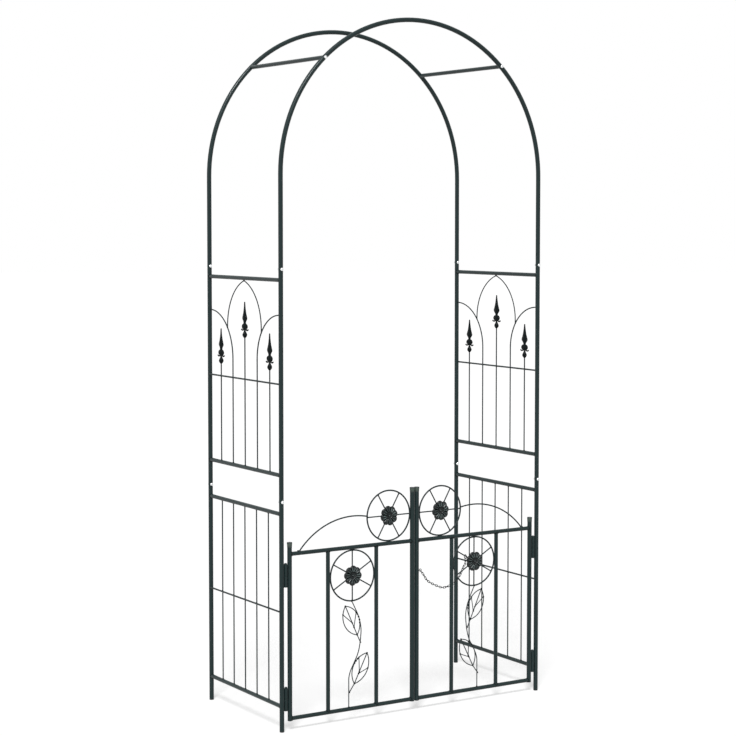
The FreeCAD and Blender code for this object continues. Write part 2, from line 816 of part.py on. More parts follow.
PIN_RADIUS = "Sizes.hinge_pin_diameter / 2"
post_knuckles = []
gate_knuckles = {"left": [], "right": []}
pins = []
for side, sign in SIDES.items():
    for level in ("lower", "upper"):
        name = f"{side}_{level}_hinge"
        base = f"Sizes.{level}_hinge_height"
        above = f"({base} + Sizes.hinge_knuckle_length + Sizes.hinge_play)"
        post_knuckles.append(
            knuckle(name + "_post_knuckle", sign, base, PIN_RADIUS, f"({POST_X})")
        )
        running = f"({PIN_RADIUS} + Sizes.hinge_pin_clearance)"
        gate_knuckles[side].append(
            knuckle(name + "_gate_knuckle", sign, above, running, HINGE_STILE_X)
        )
        head = "(2 * Sizes.hinge_knuckle_length + 2 * Sizes.hinge_play)"
        pin = turned(
            name + "_pin",
            [
                ("0", "0"),
                (PIN_RADIUS, "0"),
                (PIN_RADIUS, head),
                ("Sizes.hinge_pin_head_diameter / 2", head),
                ("Sizes.hinge_pin_head_diameter / 2", f"{head} + Sizes.hinge_pin_head_height * 0.45"),
                ("Sizes.hinge_pin_head_diameter * 0.32", f"{head} + Sizes.hinge_pin_head_height * 0.9"),
                ("0", f"{head} + Sizes.hinge_pin_head_height"),
            ],
        )
        place(pin, TURNS["z"], (f"{sign} * {HINGE_X}", f"-{POST_Y}", base))
        pins.append(pin)
node(group("post_knuckle_set", post_knuckles), "hinge_post_knuckles")
node(group("hinge_pin_set", pins), "hinge_pins")
for side in SIDES:
    node(group(f"{side}_gate_knuckle_set", gate_knuckles[side]), f"{side}_gate_hinge_knuckles")

# Gate frame: two stiles, two rails and two inner uprights to each leaf

STILES = {
    "hinge_stile": (HINGE_STILE_X, "(Sizes.top_rail_height + Sizes.hinge_stile_above_rail)"),
    "meeting_stile": (MEETING_STILE_X, "(Sizes.top_rail_height + Sizes.meeting_stile_above_rail)"),
}
STILE_BASE = "(Sizes.leaf_ground_clearance + Sizes.leaf_plug_flange)"

for side, sign in SIDES.items():
    end_caps = []
    envelopes = []
    for part, (x, top) in STILES.items():
        name = f"{side}_gate_{part}"
        at = (f"{sign} * {x}", f"-{POST_Y}", "0")
        tube_top = f"({top} - Sizes.cap_roof)"
        stile = turned(
            name,
            [
                (POST_BORE, STILE_BASE),
                (POST_RADIUS, STILE_BASE),
                (POST_RADIUS, tube_top),
                (POST_BORE, tube_top),
            ],
        )
        place(stile, TURNS["z"], at)
        node(stile, name)
        envelopes.append(rod(name + "_envelope", "z", POST_RADIUS, str(TALL), at))
        cap = turned(
            name + "_cap",
            [
                ("0", tube_top),
                (POST_RADIUS, tube_top),
                (POST_RADIUS, f"{tube_top} - Sizes.cap_cover"),
                ("Sizes.cap_diameter / 2", f"{tube_top} - Sizes.cap_cover"),
                ("Sizes.cap_diameter / 2", f"{top} - Sizes.cap_edge"),
                ("Sizes.cap_diameter / 2 - Sizes.cap_edge", top),
                ("0", top),
            ],
        )
        place(cap, TURNS["z"], at)
        plug = turned(
            name + "_plug",
            [
                ("0", "Sizes.leaf_ground_clearance"),
                (f"{POST_RADIUS} - Sizes.plug_edge", "Sizes.leaf_ground_clearance"),
                (POST_RADIUS, "Sizes.leaf_ground_clearance + Sizes.plug_edge"),
                (POST_RADIUS, STILE_BASE),
                (POST_BORE, STILE_BASE),
                (POST_BORE, f"{STILE_BASE} + Sizes.plug_depth"),
                ("0", f"{STILE_BASE} + Sizes.plug_depth"),
            ],
        )
        place(plug, TURNS["z"], at)
        end_caps += [cap, plug]
    node(group(f"{side}_end_cap_set", end_caps), f"{side}_gate_stile_end_caps")

    stiles = group(f"{side}_stile_envelopes", envelopes)
    leaf_start = f"min({sign} * {HINGE_STILE_X}; {sign} * {MEETING_STILE_X})"
    leaf_length = f"({HINGE_STILE_X} - {MEETING_STILE_X})"
    rail_envelopes = []
    for level in ("bottom", "top"):
        name = f"{side}_gate_{level}_rail"
        at = (leaf_start, f"-{POST_Y}", f"Sizes.{level}_rail_height")
        node(coped_tube(name + "_tube", "x", leaf_length, at, stiles), name)
        rail_envelopes.append(rod(name + "_envelope", "x", RAIL_RADIUS, leaf_length, at))
    rails = group(f"{side}_rail_envelopes", rail_envelopes)
    uprights = []
    for hand, step in (("inner", -1), ("outer", 1)):
        away = f"({LOWER_WHEEL_X} + {step} * (Sizes.wheel_diameter / 2 + {RAIL_RADIUS}))"
        at = (f"{sign} * {away}", f"-{POST_Y}", "Sizes.bottom_rail_height")
        length = "Sizes.top_rail_height - Sizes.bottom_rail_height"
        uprights.append(coped_tube(f"{side}_gate_{hand}_upright", "z", length, at, rails))
    node(group(f"{side}_upright_pair", uprights), f"{side}_gate_uprights")

# Wheels: a wire ring with six spokes and a flower-shaped rosette over the hub; one hangs
# under the top rail and one stands on it against the meeting stile

WHEELS = {
    "lower": (LOWER_WHEEL_X, LOWER_WHEEL_Z, SPOKE_ANGLES_LOWER),
    "upper": (UPPER_WHEEL_X, UPPER_WHEEL_Z, SPOKE_ANGLES_UPPER),
}
RING_RADIUS = "(Sizes.wheel_diameter / 2 - Sizes.ring_wire_diameter / 2)"
SPOKE_LENGTH = "(Sizes.wheel_diameter / 2 - Sizes.ring_wire_diameter - Sizes.hub_diameter / 2)"
ROSETTE_BACK = f"(-{POST_Y} - Sizes.spoke_diameter / 2)"


def rosette(name, x, z):
    """A disc with petals round its rim, a boss on its face and a hub behind it."""
    face = f"{ROSETTE_BACK} - Sizes.rosette_disc_thickness"
    thickness = "Sizes.rosette_disc_thickness"
    pieces = [
        rod(name + "_disc", "y", "Sizes.rosette_petal_circle / 2", thickness, (x, face, z)),
        rod(
            name + "_boss",
            "y",
            "Sizes.rosette_boss_diameter / 2",
            "Sizes.rosette_boss_height",
            (x, f"{face} - Sizes.rosette_boss_height", z),
        ),
        rod(
            name + "_hub", "y", "Sizes.hub_diameter / 2", "Sizes.spoke_diameter", (x, ROSETTE_BACK, z)
        ),
    ]
    for k in range(PETALS):
        angle = 90 + 360 * k / PETALS
        at = (
            f"{x} + Sizes.rosette_petal_circle / 2 * cos({angle} deg)",
            face,
            f"{z} + Sizes.rosette_petal_circle / 2 * sin({angle} deg)",
        )
        petal = rod(f"{name}_petal_{k + 1}", "y", "Sizes.rosette_petal_diameter / 2", thickness, at)
        pieces.append(petal)
    return fuse(name, pieces)


for side, sign in SIDES.items():
    rings = []
    spokes = []
    rosettes = []
    for level, (away, z, angles) in WHEELS.items():
        x = f"{sign} * {away}"
        ring = doc.addObject("Part::Torus", f"{side}_{level}_ring")
        place(ring, TURNS["-y"], (x, f"-{POST_Y}", z))
        bind(ring, {"Radius1": RING_RADIUS, "Radius2": "Sizes.ring_wire_diameter / 2"})
        rings.append(ring)
        for angle in angles:
            spoke = doc.addObject("Part::Cylinder", f"{side}_{level}_spoke_{angle}")
            turn = FreeCAD.Rotation(Vector(0, 1, 0), 90 - angle)
            at = (
                f"{x} + Sizes.hub_diameter / 2 * cos({angle} deg)",
                f"-{POST_Y}",
                f"{z} + Sizes.hub_diameter / 2 * sin({angle} deg)",
            )
            place(spoke, turn, at)
            bind(spoke, {"Radius": "Sizes.spoke_diameter / 2", "Height": SPOKE_LENGTH})
            spokes.append(spoke)
        rosettes.append(rosette(f"{side}_{level}_rosette", x, z))
    node(group(f"{side}_ring_pair", rings), f"{side}_gate_wheel_rings")
    node(group(f"{side}_spoke_set", spokes), f"{side}_gate_wheel_spokes")
    node(group(f"{side}_rosette_pair", rosettes), f"{side}_gate_rosettes")

# Crest wires: a rising bow of wire from the top rail to the upper wheel

front_y = -post_y


def both_leaves(shape, label):
    """One bent piece on each gate leaf, shaped for the left one and mirrored for the right."""
    node(shaped(f"left_{label}", shape), f"left_gate_{label}")
    mirrored = shape.mirror(Vector(), Vector(1, 0, 0))
    node(shaped(f"right_{label}", mirrored), f"right_gate_{label}")


foot = Vector(
    size("crest_foot_from_stile") - hinge_stile_x, front_y, size("top_rail_height")
)
ring_line = wheel_radius - size("ring_wire_diameter") / 2
end = Vector(-upper_wheel_x - ring_line, front_y, upper_wheel_z + size("crest_end_above_hub"))
middle = circle_middle(foot, end, size("crest_radius"), 1)
crest = bent_wire([arc(foot, middle, end)], size("crest_wire_diameter") / 2)
top_rail = Part.makeCylinder(
    rail_radius,
    hinge_stile_x,
    Vector(-hinge_stile_x, front_y, size("top_rail_height")),
    Vector(1, 0, 0),
)
upper_ring = Part.makeTorus(
    ring_line,
    size("ring_wire_diameter") / 2,
    Vector(-upper_wheel_x, front_y, upper_wheel_z),
    Vector(0, 1, 0),
)
both_leaves(crest.cut([top_rail, upper_ring]), "crest_wire")

# Stem wires: a branch that wanders from the lower wheel down to the bottom rail, with points
# given as millimetres towards the meeting stile and a share of the height

STEM_ROUTE = (
    (-2.5, 1.0),
    (25.5, 0.853),
    (36.5, 0.741),
    (32.5, 0.613),
    (24.0, 0.507),
    (-8.5, 0.348),
    (-14.4, 0.293),
    (-14.4, 0.0),
)

stem_top = lower_wheel_z - wheel_radius + size("ring_wire_diameter") / 2
stem_base = size("bottom_rail_height")


def on_leaf(inward, height):
    """A point in the plane of the left leaf, measured from the lower wheel's centre line."""
    return Vector(inward - lower_wheel_x, front_y, height)


def up_stem(share):
    """The height at a share of the way up the stem."""
    return stem_base + share * (stem_top - stem_base)


route = [on_leaf(inward, up_stem(share)) for inward, share in STEM_ROUTE]
lower_ring = Part.makeTorus(
    ring_line,
    size("ring_wire_diameter") / 2,
    Vector(-lower_wheel_x, front_y, lower_wheel_z),
    Vector(0, 1, 0),
)
bottom_rail = Part.makeCylinder(
    rail_radius,
    hinge_stile_x,
    Vector(-hinge_stile_x, front_y, size("bottom_rail_height")),
    Vector(1, 0, 0),
)
stem = bent_wire(rounded_path(route), size("stem_diameter") / 2)
both_leaves(stem.cut([lower_ring, bottom_rail]), "stem_wire")

# Leaf wires: two leaves of thinner wire that lie against the front of the stem. Each is a twig
# that runs on as a midrib between two bowed wires, with a vein on each side. Points are in
# millimetres from where the twig meets the stem. A side says how far it bows out, and how far
# up the outline and up the midrib its vein ends

LEAVES = (
    {
        "joint": (30.4, size("upper_twig_share")),
        "base": (-12.9, 26.9),
        "tip": (-60.3, 130.9),
        "sides": {1: (30.2, 0.773, 0.417), -1: (31.1, 0.626, 0.271)},
    },
    {
        "joint": (-14.4, size("lower_twig_share")),
        "base": (20.4, 27.5),
        "tip": (71.8, 128.2),
        "sides": {-1: (27.8, 0.587, 0.329), 1: (31.7, 0.741, 0.389)},
    },
)


def part_way(edge, share):
    """The point at a share of the way along an edge."""
    span = edge.LastParameter - edge.FirstParameter
    return edge.valueAt(edge.FirstParameter + share * span)


def wire_leaf(leaf):
    """One leaf in the plane in front of the stem, with a bead of weld at its base and its tip."""
    radius = size("leaf_wire_diameter") / 2
    vein_radius = size("leaf_vein_diameter") / 2
    inward, share = leaf["joint"]
    before_stem = Vector(0, -size("stem_diameter") / 2 - radius, 0)
    joint = on_leaf(inward, up_stem(share)) + before_stem
    base, tip = (joint + Vector(leaf[end][0], 0, leaf[end][1]) for end in ("base", "tip"))
    midrib = line(base, tip)
    leftward = (tip - base).cross(Vector(0, 1, 0)).normalize()
    wires = [bent_wire([line(joint, base)], radius), bent_wire([midrib], radius)]
    for side, (bow, up_outline, up_midrib) in leaf["sides"].items():
        outline = arc(base, (base + tip) / 2 + leftward * side * bow, tip)
        vein = line(part_way(outline, up_outline), part_way(midrib, up_midrib))
        wires += [bent_wire([outline], radius), bent_wire([vein], vein_radius)]
    beads = [Part.makeSphere(size("leaf_bead_diameter") / 2, end) for end in (base, tip)]
    return wires[0].fuse(wires[1:] + beads)


both_leaves(Part.makeCompound([wire_leaf(leaf) for leaf in LEAVES]), "leaf_wires")

# Chain: an eye on the right meeting stile, a length of links that hangs behind the inner
# upright, and a split ring on a spoke of the right lower wheel

eye_wire = size("eye_wire_diameter") / 2
eye_radius = size("eye_radius")
eye_centre = Vector(
    meeting_stile_x + post_radius + size("eye_shank") + eye_radius, front_y, size("eye_height")
)
eye = Part.makeTorus(eye_radius, eye_wire, eye_centre, Vector(0, 1, 0))
shank = Part.makeCylinder(
    eye_wire,
    size("eye_shank") + 1,
    Vector(meeting_stile_x + post_radius - 1, front_y, size("eye_height")),
    Vector(1, 0, 0),
)
stile = Part.makeCylinder(post_radius, TALL, Vector(meeting_stile_x, front_y, 0))
node(shaped("eye", eye.fuse(shank).cut(stile)), "chain_eye")

SPOKE_WITH_RING = math.radians(150)
slope = math.tan(math.pi - SPOKE_WITH_RING)
ring_wire = size("end_ring_wire_diameter") / 2
spoke_half_height = size("spoke_diameter") / 2 * math.sqrt(1 + slope**2)
under_spoke = spoke_half_height + ring_wire * (1 + slope) + size("link_slack")
ring_centre = Vector(
    lower_wheel_x + size("end_ring_along_spoke") * math.cos(SPOKE_WITH_RING),
    front_y,
    lower_wheel_z
    + size("end_ring_along_spoke") * math.sin(SPOKE_WITH_RING)
    + under_spoke
    - size("end_ring_radius"),
)
end_ring = Part.makeTorus(size("end_ring_radius"), ring_wire, ring_centre, Vector(1, 0, 0))
node(shaped("end_ring", end_ring), "chain_end_ring")

link_wire = size("link_wire_diameter") / 2
link_end = size("link_length") / 2 - link_wire
inner_length = size("link_length") - 2 * size("link_wire_diameter")


def chain_link():
    """One oval link, long in X and flat in XY, about its own middle."""
    bend = size("link_width") / 2 - link_wire
    straight = size("link_length") - size("link_width")
    pieces = []
    for sign in (-1, 1):
        start = Vector(sign * straight / 2, bend, 0)
        middle = Vector(sign * (straight / 2 + bend), 0, 0)
        end = Vector(sign * straight / 2, -bend, 0)
        pieces.append(bent_wire([arc(start, middle, end)], link_wire))
        side_start = Vector(-straight / 2, sign * bend, 0)
        side_end = Vector(straight / 2, sign * bend, 0)
        pieces.append(bent_wire([line(side_start, side_end)], link_wire))
    return pieces[0].fuse(pieces[1:]).removeSplitter()


# The chain's hang: a share of the way from the eye to the ring, how far it drops below the
# straight line between them, and how far behind the leaf it lies as a share of the most
CHAIN_HANG = (
    (0.043, 11.0, 0.0),
    (0.116, 32.0, 0.1),
    (0.257, 54.0, 0.3),
    (0.394, 69.5, 0.6),
    (0.517, 80.0, 0.9),
    (0.657, 81.5, 1.0),
    (0.777, 76.0, 1.0),
    (0.88, 62.0, 1.0),
    (0.95, 46.0, 1.0),
    (0.985, 26.0, 0.7),
)
heading = Vector(0.6, 0, -0.8)
eye_play = eye_radius - eye_wire - link_wire - size("link_slack")
chain_start = eye_centre + heading * (link_end + eye_play)
ring_play = size("end_ring_radius") - ring_wire - link_wire - size("link_slack")
chain_end = ring_centre - Vector(0, 0, ring_play + link_end)
behind = rail_radius + size("link_width") / 2 + size("chain_behind_upright")
hang = [chain_start]
for share, drop, back in CHAIN_HANG:
    point = chain_start + (chain_end - chain_start) * share
    hang.append(point + Vector(0, back * behind, -drop))
hang.append(chain_end)
curve = Part.BSplineCurve()
curve.interpolate(Points=hang, InitialTangent=heading, FinalTangent=Vector(0, 0, 1))
centre_line = curve.toShape()
pitch = inner_length - size("link_slack")
count = 2 * math.ceil((centre_line.Length / pitch + 1) / 2)
links = []
for k, point in enumerate(centre_line.discretize(Number=count)):
    parameter = curve.parameter(point)
    along = Vector(*curve.tangent(parameter)[0]).normalize()
    across = along.cross(Vector(0, 1, 0)).normalize() if k % 2 else Vector(0, 1, 0)
    link = shaped(f"link_{k + 1}", chain_link())
    turn = FreeCAD.Rotation(along, across, along.cross(across), "XYZ")
    link.Placement = FreeCAD.Placement(point, turn)
    links.append(link)
node(group("link_set", links), "chain_links")
print("chain length", round(centre_line.Length, 1), "links", count)

# Check every object and write the parts

doc.recompute()
for item in doc.Objects:
    if "Invalid" in item.State or "Error" in item.State:
        raise RuntimeError(f"{item.Name} failed: {item.State}")
if len({item.Label for item in nodes}) != len(nodes) or len(nodes) > 60:
    raise RuntimeError("the parts need up to 60 names of their own")
for item in nodes:
    if item.Shape.isNull() or not item.Shape.isValid():
        raise RuntimeError(f"{item.Label} has no valid shape")
    item.Shape.exportStep(f"parts/{item.Label}.step")
print(len(nodes), "parts")
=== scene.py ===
import math
import random

import bmesh
import bpy
from mathutils import Matrix, Vector


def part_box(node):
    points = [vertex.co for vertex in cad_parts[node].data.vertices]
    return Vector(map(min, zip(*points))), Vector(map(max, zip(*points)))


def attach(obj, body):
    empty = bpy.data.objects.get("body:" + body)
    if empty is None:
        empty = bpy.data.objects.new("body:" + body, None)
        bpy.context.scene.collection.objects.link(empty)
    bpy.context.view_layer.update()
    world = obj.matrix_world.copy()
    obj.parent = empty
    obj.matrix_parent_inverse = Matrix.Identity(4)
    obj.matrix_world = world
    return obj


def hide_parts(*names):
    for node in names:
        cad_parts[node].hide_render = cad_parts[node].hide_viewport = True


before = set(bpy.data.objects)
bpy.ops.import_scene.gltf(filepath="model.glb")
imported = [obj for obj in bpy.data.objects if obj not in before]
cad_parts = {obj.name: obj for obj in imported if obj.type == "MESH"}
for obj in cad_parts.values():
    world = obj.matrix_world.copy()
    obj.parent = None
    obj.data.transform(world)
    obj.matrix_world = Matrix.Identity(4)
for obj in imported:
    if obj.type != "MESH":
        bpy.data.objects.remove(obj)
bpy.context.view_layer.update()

# The stage: white paper under an even white sky, with a wide soft lamp high behind the camera and
# a weak one low on its left. The paper shows white and keeps only the soft shadow.


def linear(hex_colour):
    """An sRGB hex colour as linear red, green, blue and alpha."""
    parts = [int(hex_colour[k : k + 2], 16) / 255 for k in (1, 3, 5)]
    return [p / 12.92 if p <= 0.04045 else ((p + 0.055) / 1.055) ** 2.4 for p in parts] + [1.0]


def add_node(tree, kind, settings=None, inputs=None, links=None):
    """Adds a shader node, sets its properties and sockets, and links its inputs."""
    node = tree.nodes.new(kind)
    for name, value in (settings or {}).items():
        setattr(node, name, value)
    for name, value in (inputs or {}).items():
        node.inputs[name].default_value = value
    for name, source in (links or {}).items():
        tree.links.new(source, node.inputs[name])
    return node


def new_material(name):
    """A material whose shader tree is still empty, and that tree."""
    material = bpy.data.materials.new(name)
    material.use_nodes = True
    material.node_tree.nodes.clear()
    return material, material.node_tree


# The photograph's camera: a long lens at head height, 32 degrees to the left of the gate's own
# axis and tipped down a little. Its place is in metres from the middle of the four feet.
PHOTO_PIXELS = 736
SENSOR_MM = 36
LENS_PIXELS = 1886.5
TURN = math.radians(32.156)
PITCH = math.radians(3.411)
EYE_HEIGHT = 1.7197
BACK_OFF = 6.7378
SIDE_STEP = 0.026
RISE = -0.05
SIGHT = 60

camera_data = bpy.data.cameras.new("camera")
camera = bpy.data.objects.new("camera", camera_data)
bpy.context.scene.collection.objects.link(camera)
camera_data.sensor_width = SENSOR_MM
camera_data.lens = SENSOR_MM * LENS_PIXELS / PHOTO_PIXELS
camera_data.shift_y = RISE
camera_data.clip_end = SIGHT
to_right = Vector((math.cos(TURN), -math.sin(TURN), 0))
level_ahead = Vector((math.sin(TURN), math.cos(TURN), 0))
ahead = level_ahead * math.cos(PITCH) - Vector((0, 0, 1)) * math.sin(PITCH)
camera.location = -SIDE_STEP * to_right - BACK_OFF * level_ahead + Vector((0, 0, EYE_HEIGHT))
camera.rotation_mode = "QUATERNION"
camera.rotation_quaternion = ahead.to_track_quat("-Z", "Y")
bpy.context.scene.camera = camera
bpy.context.scene.view_settings.view_transform = "Standard"

SWEEP_COLOUR = "#b8b8b8"
SWEEP_HALF_WIDTH = 60
SWEEP_GLOW = 0.64
FLOOR_LIFT = -0.0005

sweep, sweep_tree = new_material("sweep_paper")
paper = add_node(sweep_tree, "ShaderNodeBsdfDiffuse", inputs={"Color": linear(SWEEP_COLOUR)})
sweep_rays = add_node(sweep_tree, "ShaderNodeLightPath")
sweep_seen = add_node(
    sweep_tree,
    "ShaderNodeMath",
    {"operation": "MAXIMUM"},
    links={0: sweep_rays.outputs["Is Camera Ray"], 1: sweep_rays.outputs["Is Glossy Ray"]},
)
sweep_lift = add_node(
    sweep_tree,
    "ShaderNodeMath",
    {"operation": "MULTIPLY"},
    {1: SWEEP_GLOW},
    {0: sweep_seen.outputs[0]},
)
glow = add_node(sweep_tree, "ShaderNodeEmission", links={"Strength": sweep_lift.outputs[0]})
lit_paper = add_node(
    sweep_tree, "ShaderNodeAddShader", links={0: paper.outputs[0], 1: glow.outputs[0]}
)
add_node(sweep_tree, "ShaderNodeOutputMaterial", links={"Surface": lit_paper.outputs[0]})

floor_mesh = bpy.data.meshes.new("floor")
floor_mesh.from_pydata(
    [
        (x * SWEEP_HALF_WIDTH, y * SWEEP_HALF_WIDTH, FLOOR_LIFT)
        for x, y in ((-1, -1), (1, -1), (1, 1), (-1, 1))
    ],
    [],
    [(0, 1, 2, 3)],
)
floor = bpy.data.objects.new("floor", floor_mesh)
bpy.context.scene.collection.objects.link(floor)
floor_mesh.materials.append(sweep)

SKY_FILL = 0.1

world = bpy.data.worlds.new("studio")
bpy.context.scene.world = world
world.use_nodes = True
world.node_tree.nodes.clear()
sky_rays = add_node(world.node_tree, "ShaderNodeLightPath")
sharp_rays = add_node(
    world.node_tree,
    "ShaderNodeMath",
    {"operation": "MAXIMUM"},
    links={0: sky_rays.outputs["Is Camera Ray"], 1: sky_rays.outputs["Is Transmission Ray"]},
)
sky_seen = add_node(
    world.node_tree,
    "ShaderNodeMath",
    {"operation": "MAXIMUM"},
    links={0: sharp_rays.outputs[0], 1: sky_rays.outputs["Is Glossy Ray"]},
)
sky_level = add_node(
    world.node_tree,
    "ShaderNodeMapRange",
    inputs={"From Min": 0.0, "From Max": 1.0, "To Min": SKY_FILL, "To Max": 1.0},
    links={"Value": sky_seen.outputs[0]},
)
sky = add_node(
    world.node_tree,
    "ShaderNodeBackground",
    inputs={"Color": linear("#ffffff")},
    links={"Strength": sky_level.outputs[0]},
)
add_node(world.node_tree, "ShaderNodeOutputWorld", links={"Surface": sky.outputs[0]})


def soft_lamp(name, aim, spread, strength):
    """A far, even lamp that shines along a direction, as wide as a large soft box."""
    data = bpy.data.lights.new(name, "SUN")
    data.angle = math.radians(spread)
    data.energy = strength
    lamp = bpy.data.objects.new(name, data)
    bpy.context.scene.collection.objects.link(lamp)
    lamp.rotation_mode = "QUATERNION"
    lamp.rotation_quaternion = Vector(aim).to_track_quat("-Z", "Y")


soft_lamp("key", aim=(0.398, 0.514, -0.76), spread=16, strength=2.9)
soft_lamp("fill", aim=(0.91, 0.24, -0.34), spread=45, strength=0.3)

# Posts and arches: 16 mm round steel tube, cut, bent and drilled, then powder-coated as single
# lengths. Each post is two lengths that plug together under the arch's leg.

MM = 0.001
COAT_COLOUR = "#192929"
COAT_PALE = "#213233"
COAT_ROUGHNESS = 0.3
ORANGE_PEEL_MM = 2.4
ORANGE_PEEL_DEPTH_MM = 0.03
CLOUD_MM = 90


def clouded_colour(tree, size_mm, base, pale, detail=3.0, roughness=0.5):
    """A colour that wavers in clouds: nodes for the spot on the piece, the noise and the tint."""
    spot = add_node(tree, "ShaderNodeTexCoord").outputs["Object"]
    cloud = add_node(
        tree,
        "ShaderNodeTexNoise",
        inputs={"Scale": 1 / (size_mm * MM), "Detail": detail, "Roughness": roughness},
        links={"Vector": spot},
    )
    tint = add_node(
        tree,
        "ShaderNodeMix",
        {"data_type": "RGBA"},
        {6: linear(base), 7: linear(pale)},
        {0: cloud.outputs[0]},
    )
    return spot, cloud, tint


def coat_material(name, base, pale, roughness, grain_mm, grain_depth_mm, shine=0.25):
    """Baked polyester powder: satin, a little uneven in gloss, with a grain in its skin."""
    material, tree = new_material(name)
    spot, cloud, tint = clouded_colour(tree, CLOUD_MM, base, pale, detail=4.0, roughness=0.55)
    gloss = add_node(
        tree,
        "ShaderNodeMapRange",
        inputs={
            "From Min": 0.3,
            "From Max": 0.7,
            "To Min": roughness - 0.05,
            "To Max": roughness + 0.07,
        },
        links={"Value": cloud.outputs[0]},
    )
    grain = add_node(
        tree,
        "ShaderNodeTexNoise",
        inputs={"Scale": 1 / (grain_mm * MM), "Detail": 2.0, "Roughness": 0.5},
        links={"Vector": spot},
    )
    skin = add_node(
        tree,
        "ShaderNodeBump",
        inputs={"Strength": 0.5, "Distance": grain_depth_mm * MM},
        links={"Height": grain.outputs[0]},
    )
    surface = add_node(
        tree,
        "ShaderNodeBsdfPrincipled",
        inputs={"IOR": 1.48, "Specular IOR Level": shine},
        links={
            "Base Color": tint.outputs[2],
            "Roughness": gloss.outputs[0],
            "Normal": skin.outputs[0],
        },
    )
    add_node(tree, "ShaderNodeOutputMaterial", links={"Surface": surface.outputs[0]})
    return material


# Satin anthracite powder coat on drawn tube: nearly black with a green-blue cast, and a faint
# orange peel, drawn a little coarser than the real 1.5 mm so that it shows at all.
tube_coat = coat_material(
    "powder_coat_on_tube",
    COAT_COLOUR,
    COAT_PALE,
    COAT_ROUGHNESS,
    ORANGE_PEEL_MM,
    ORANGE_PEEL_DEPTH_MM,
)


def dress(node, material):
    """Gives a node of the frame its finish."""
    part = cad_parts[node]
    part.data.materials.clear()
    part.data.materials.append(material)


SIDES = {"left": -1, "right": 1}
ENDS = {"front": -1, "rear": 1}

for end in ENDS:
    dress(f"{end}_arch_tube", tube_coat)
    for side in SIDES:
        dress(f"{end}_{side}_lower_post", tube_coat)
        dress(f"{end}_{side}_upper_post", tube_coat)

# Foot plugs: moulded black polyethylene, pushed into the open feet, with a rounded rim that is
# flush with the tube and three soft barbs that grip its bore.

PLASTIC_SPECK_MM = 1.2
PLUG_RIM = 4
PLUG_EDGE = 1.5
PLUG_DEPTH = 16
PLUG_BARE_END = 2
TUBE_WALL = 1
BARBS = 3
BARB_HEIGHT = 0.35
BARB_RUN = 1
BARB_GAP = 0.02
TURN_STEPS = 40


def plastic_material(name, base, pale, roughness):
    """Moulded polyethylene: matt, waxy, and slightly paler where the light enters it."""
    material, tree = new_material(name)
    _, speck, tint = clouded_colour(tree, PLASTIC_SPECK_MM, base, pale)
    skin = add_node(
        tree,
        "ShaderNodeBump",
        inputs={"Strength": 0.4, "Distance": 0.05 * MM},
        links={"Height": speck.outputs[0]},
    )
    surface = add_node(
        tree,
        "ShaderNodeBsdfPrincipled",
        inputs={"Roughness": roughness, "IOR": 1.51},
        links={"Base Color": tint.outputs[2], "Normal": skin.outputs[0]},
    )
    add_node(tree, "ShaderNodeOutputMaterial", links={"Surface": surface.outputs[0]})
    return material


def turned(mesh, profile, at, axis=(0, 0, 1), steps=TURN_STEPS):
    """Adds a lathe-turned solid: a closed outline of (radius, height) in mm, about an axis."""
    along = Vector(axis).normalized()
    across = along.orthogonal().normalized()
    third = along.cross(across)
    rings = []
    for radius, height in profile:
        middle = Vector(at) + along * height
        if radius == 0:
            rings.append([mesh.verts.new(middle * MM)])
            continue
        ring = []
        for k in range(steps):
            angle = 2 * math.pi * k / steps
            spoke = across * math.cos(angle) + third * math.sin(angle)
            ring.append(mesh.verts.new((middle + spoke * radius) * MM))
        rings.append(ring)
    for lower, upper in zip(rings, rings[1:] + rings[:1]):
        if len(lower) == 1 and len(upper) == 1:
            continue
        for k in range(steps):
            after = (k + 1) % steps
            corners = [lower[k % len(lower)], lower[after % len(lower)]]
            corners += [upper[after % len(upper)], upper[k % len(upper)]]
            mesh.faces.new(list(dict.fromkeys(corners)))
    return rings


def rounded(centre_radius, centre_height, size, start, stop, count=5):
    """Outline points on a quarter-round edge, between two angles in degrees."""
    points = []
    for k in range(count):
        angle = math.radians(start + (stop - start) * k / (count - 1))
        points.append(
            (centre_radius + size * math.cos(angle), centre_height + size * math.sin(angle))
        )
    return points


def finish_piece(name, mesh, material, body, replaced=(), crease=35):
    """Turns a working mesh into a piece of the scene that rides on a body."""
    bmesh.ops.recalc_face_normals(mesh, faces=mesh.faces)
    data = bpy.data.meshes.new(name)
    for face in mesh.faces:
        face.smooth = True
    mesh.to_mesh(data)
    mesh.free()
    data.set_sharp_from_angle(angle=math.radians(crease))
    data.materials.append(material)
    piece = bpy.data.objects.new(name, data)
    bpy.context.scene.collection.objects.link(piece)
    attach(piece, body)
    if replaced:
        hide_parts(*replaced)
    return piece


def corners_mm(node):
    """The low and the high corner of a node's box, in mm."""
    return [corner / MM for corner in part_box(node)]


def middle_mm(node):
    """The middle of a node's box and half its size, in mm."""
    low, high = corners_mm(node)
    return (low + high) / 2, (high - low) / 2


def stopper(mesh, at, radius, rim, depth):
    """A rounded rim with a barbed plug above it, pushed into a tube from below."""
    bore = radius - TUBE_WALL
    profile = [(0, 0), (radius - PLUG_EDGE, 0)]
    profile += rounded(radius - PLUG_EDGE, PLUG_EDGE, PLUG_EDGE, -90, 0)[1:]
    profile += [(radius, rim), (bore, rim)]
    stem = bore - BARB_HEIGHT
    for k in range(BARBS):
        start = rim + PLUG_BARE_END + k * (depth - 2 * PLUG_BARE_END) / BARBS
        profile += [(stem, start), (bore - BARB_GAP, start + BARB_RUN), (stem, start + BARB_RUN)]
    profile += [(stem, rim + depth), (0, rim + depth)]
    turned(mesh, profile, at)


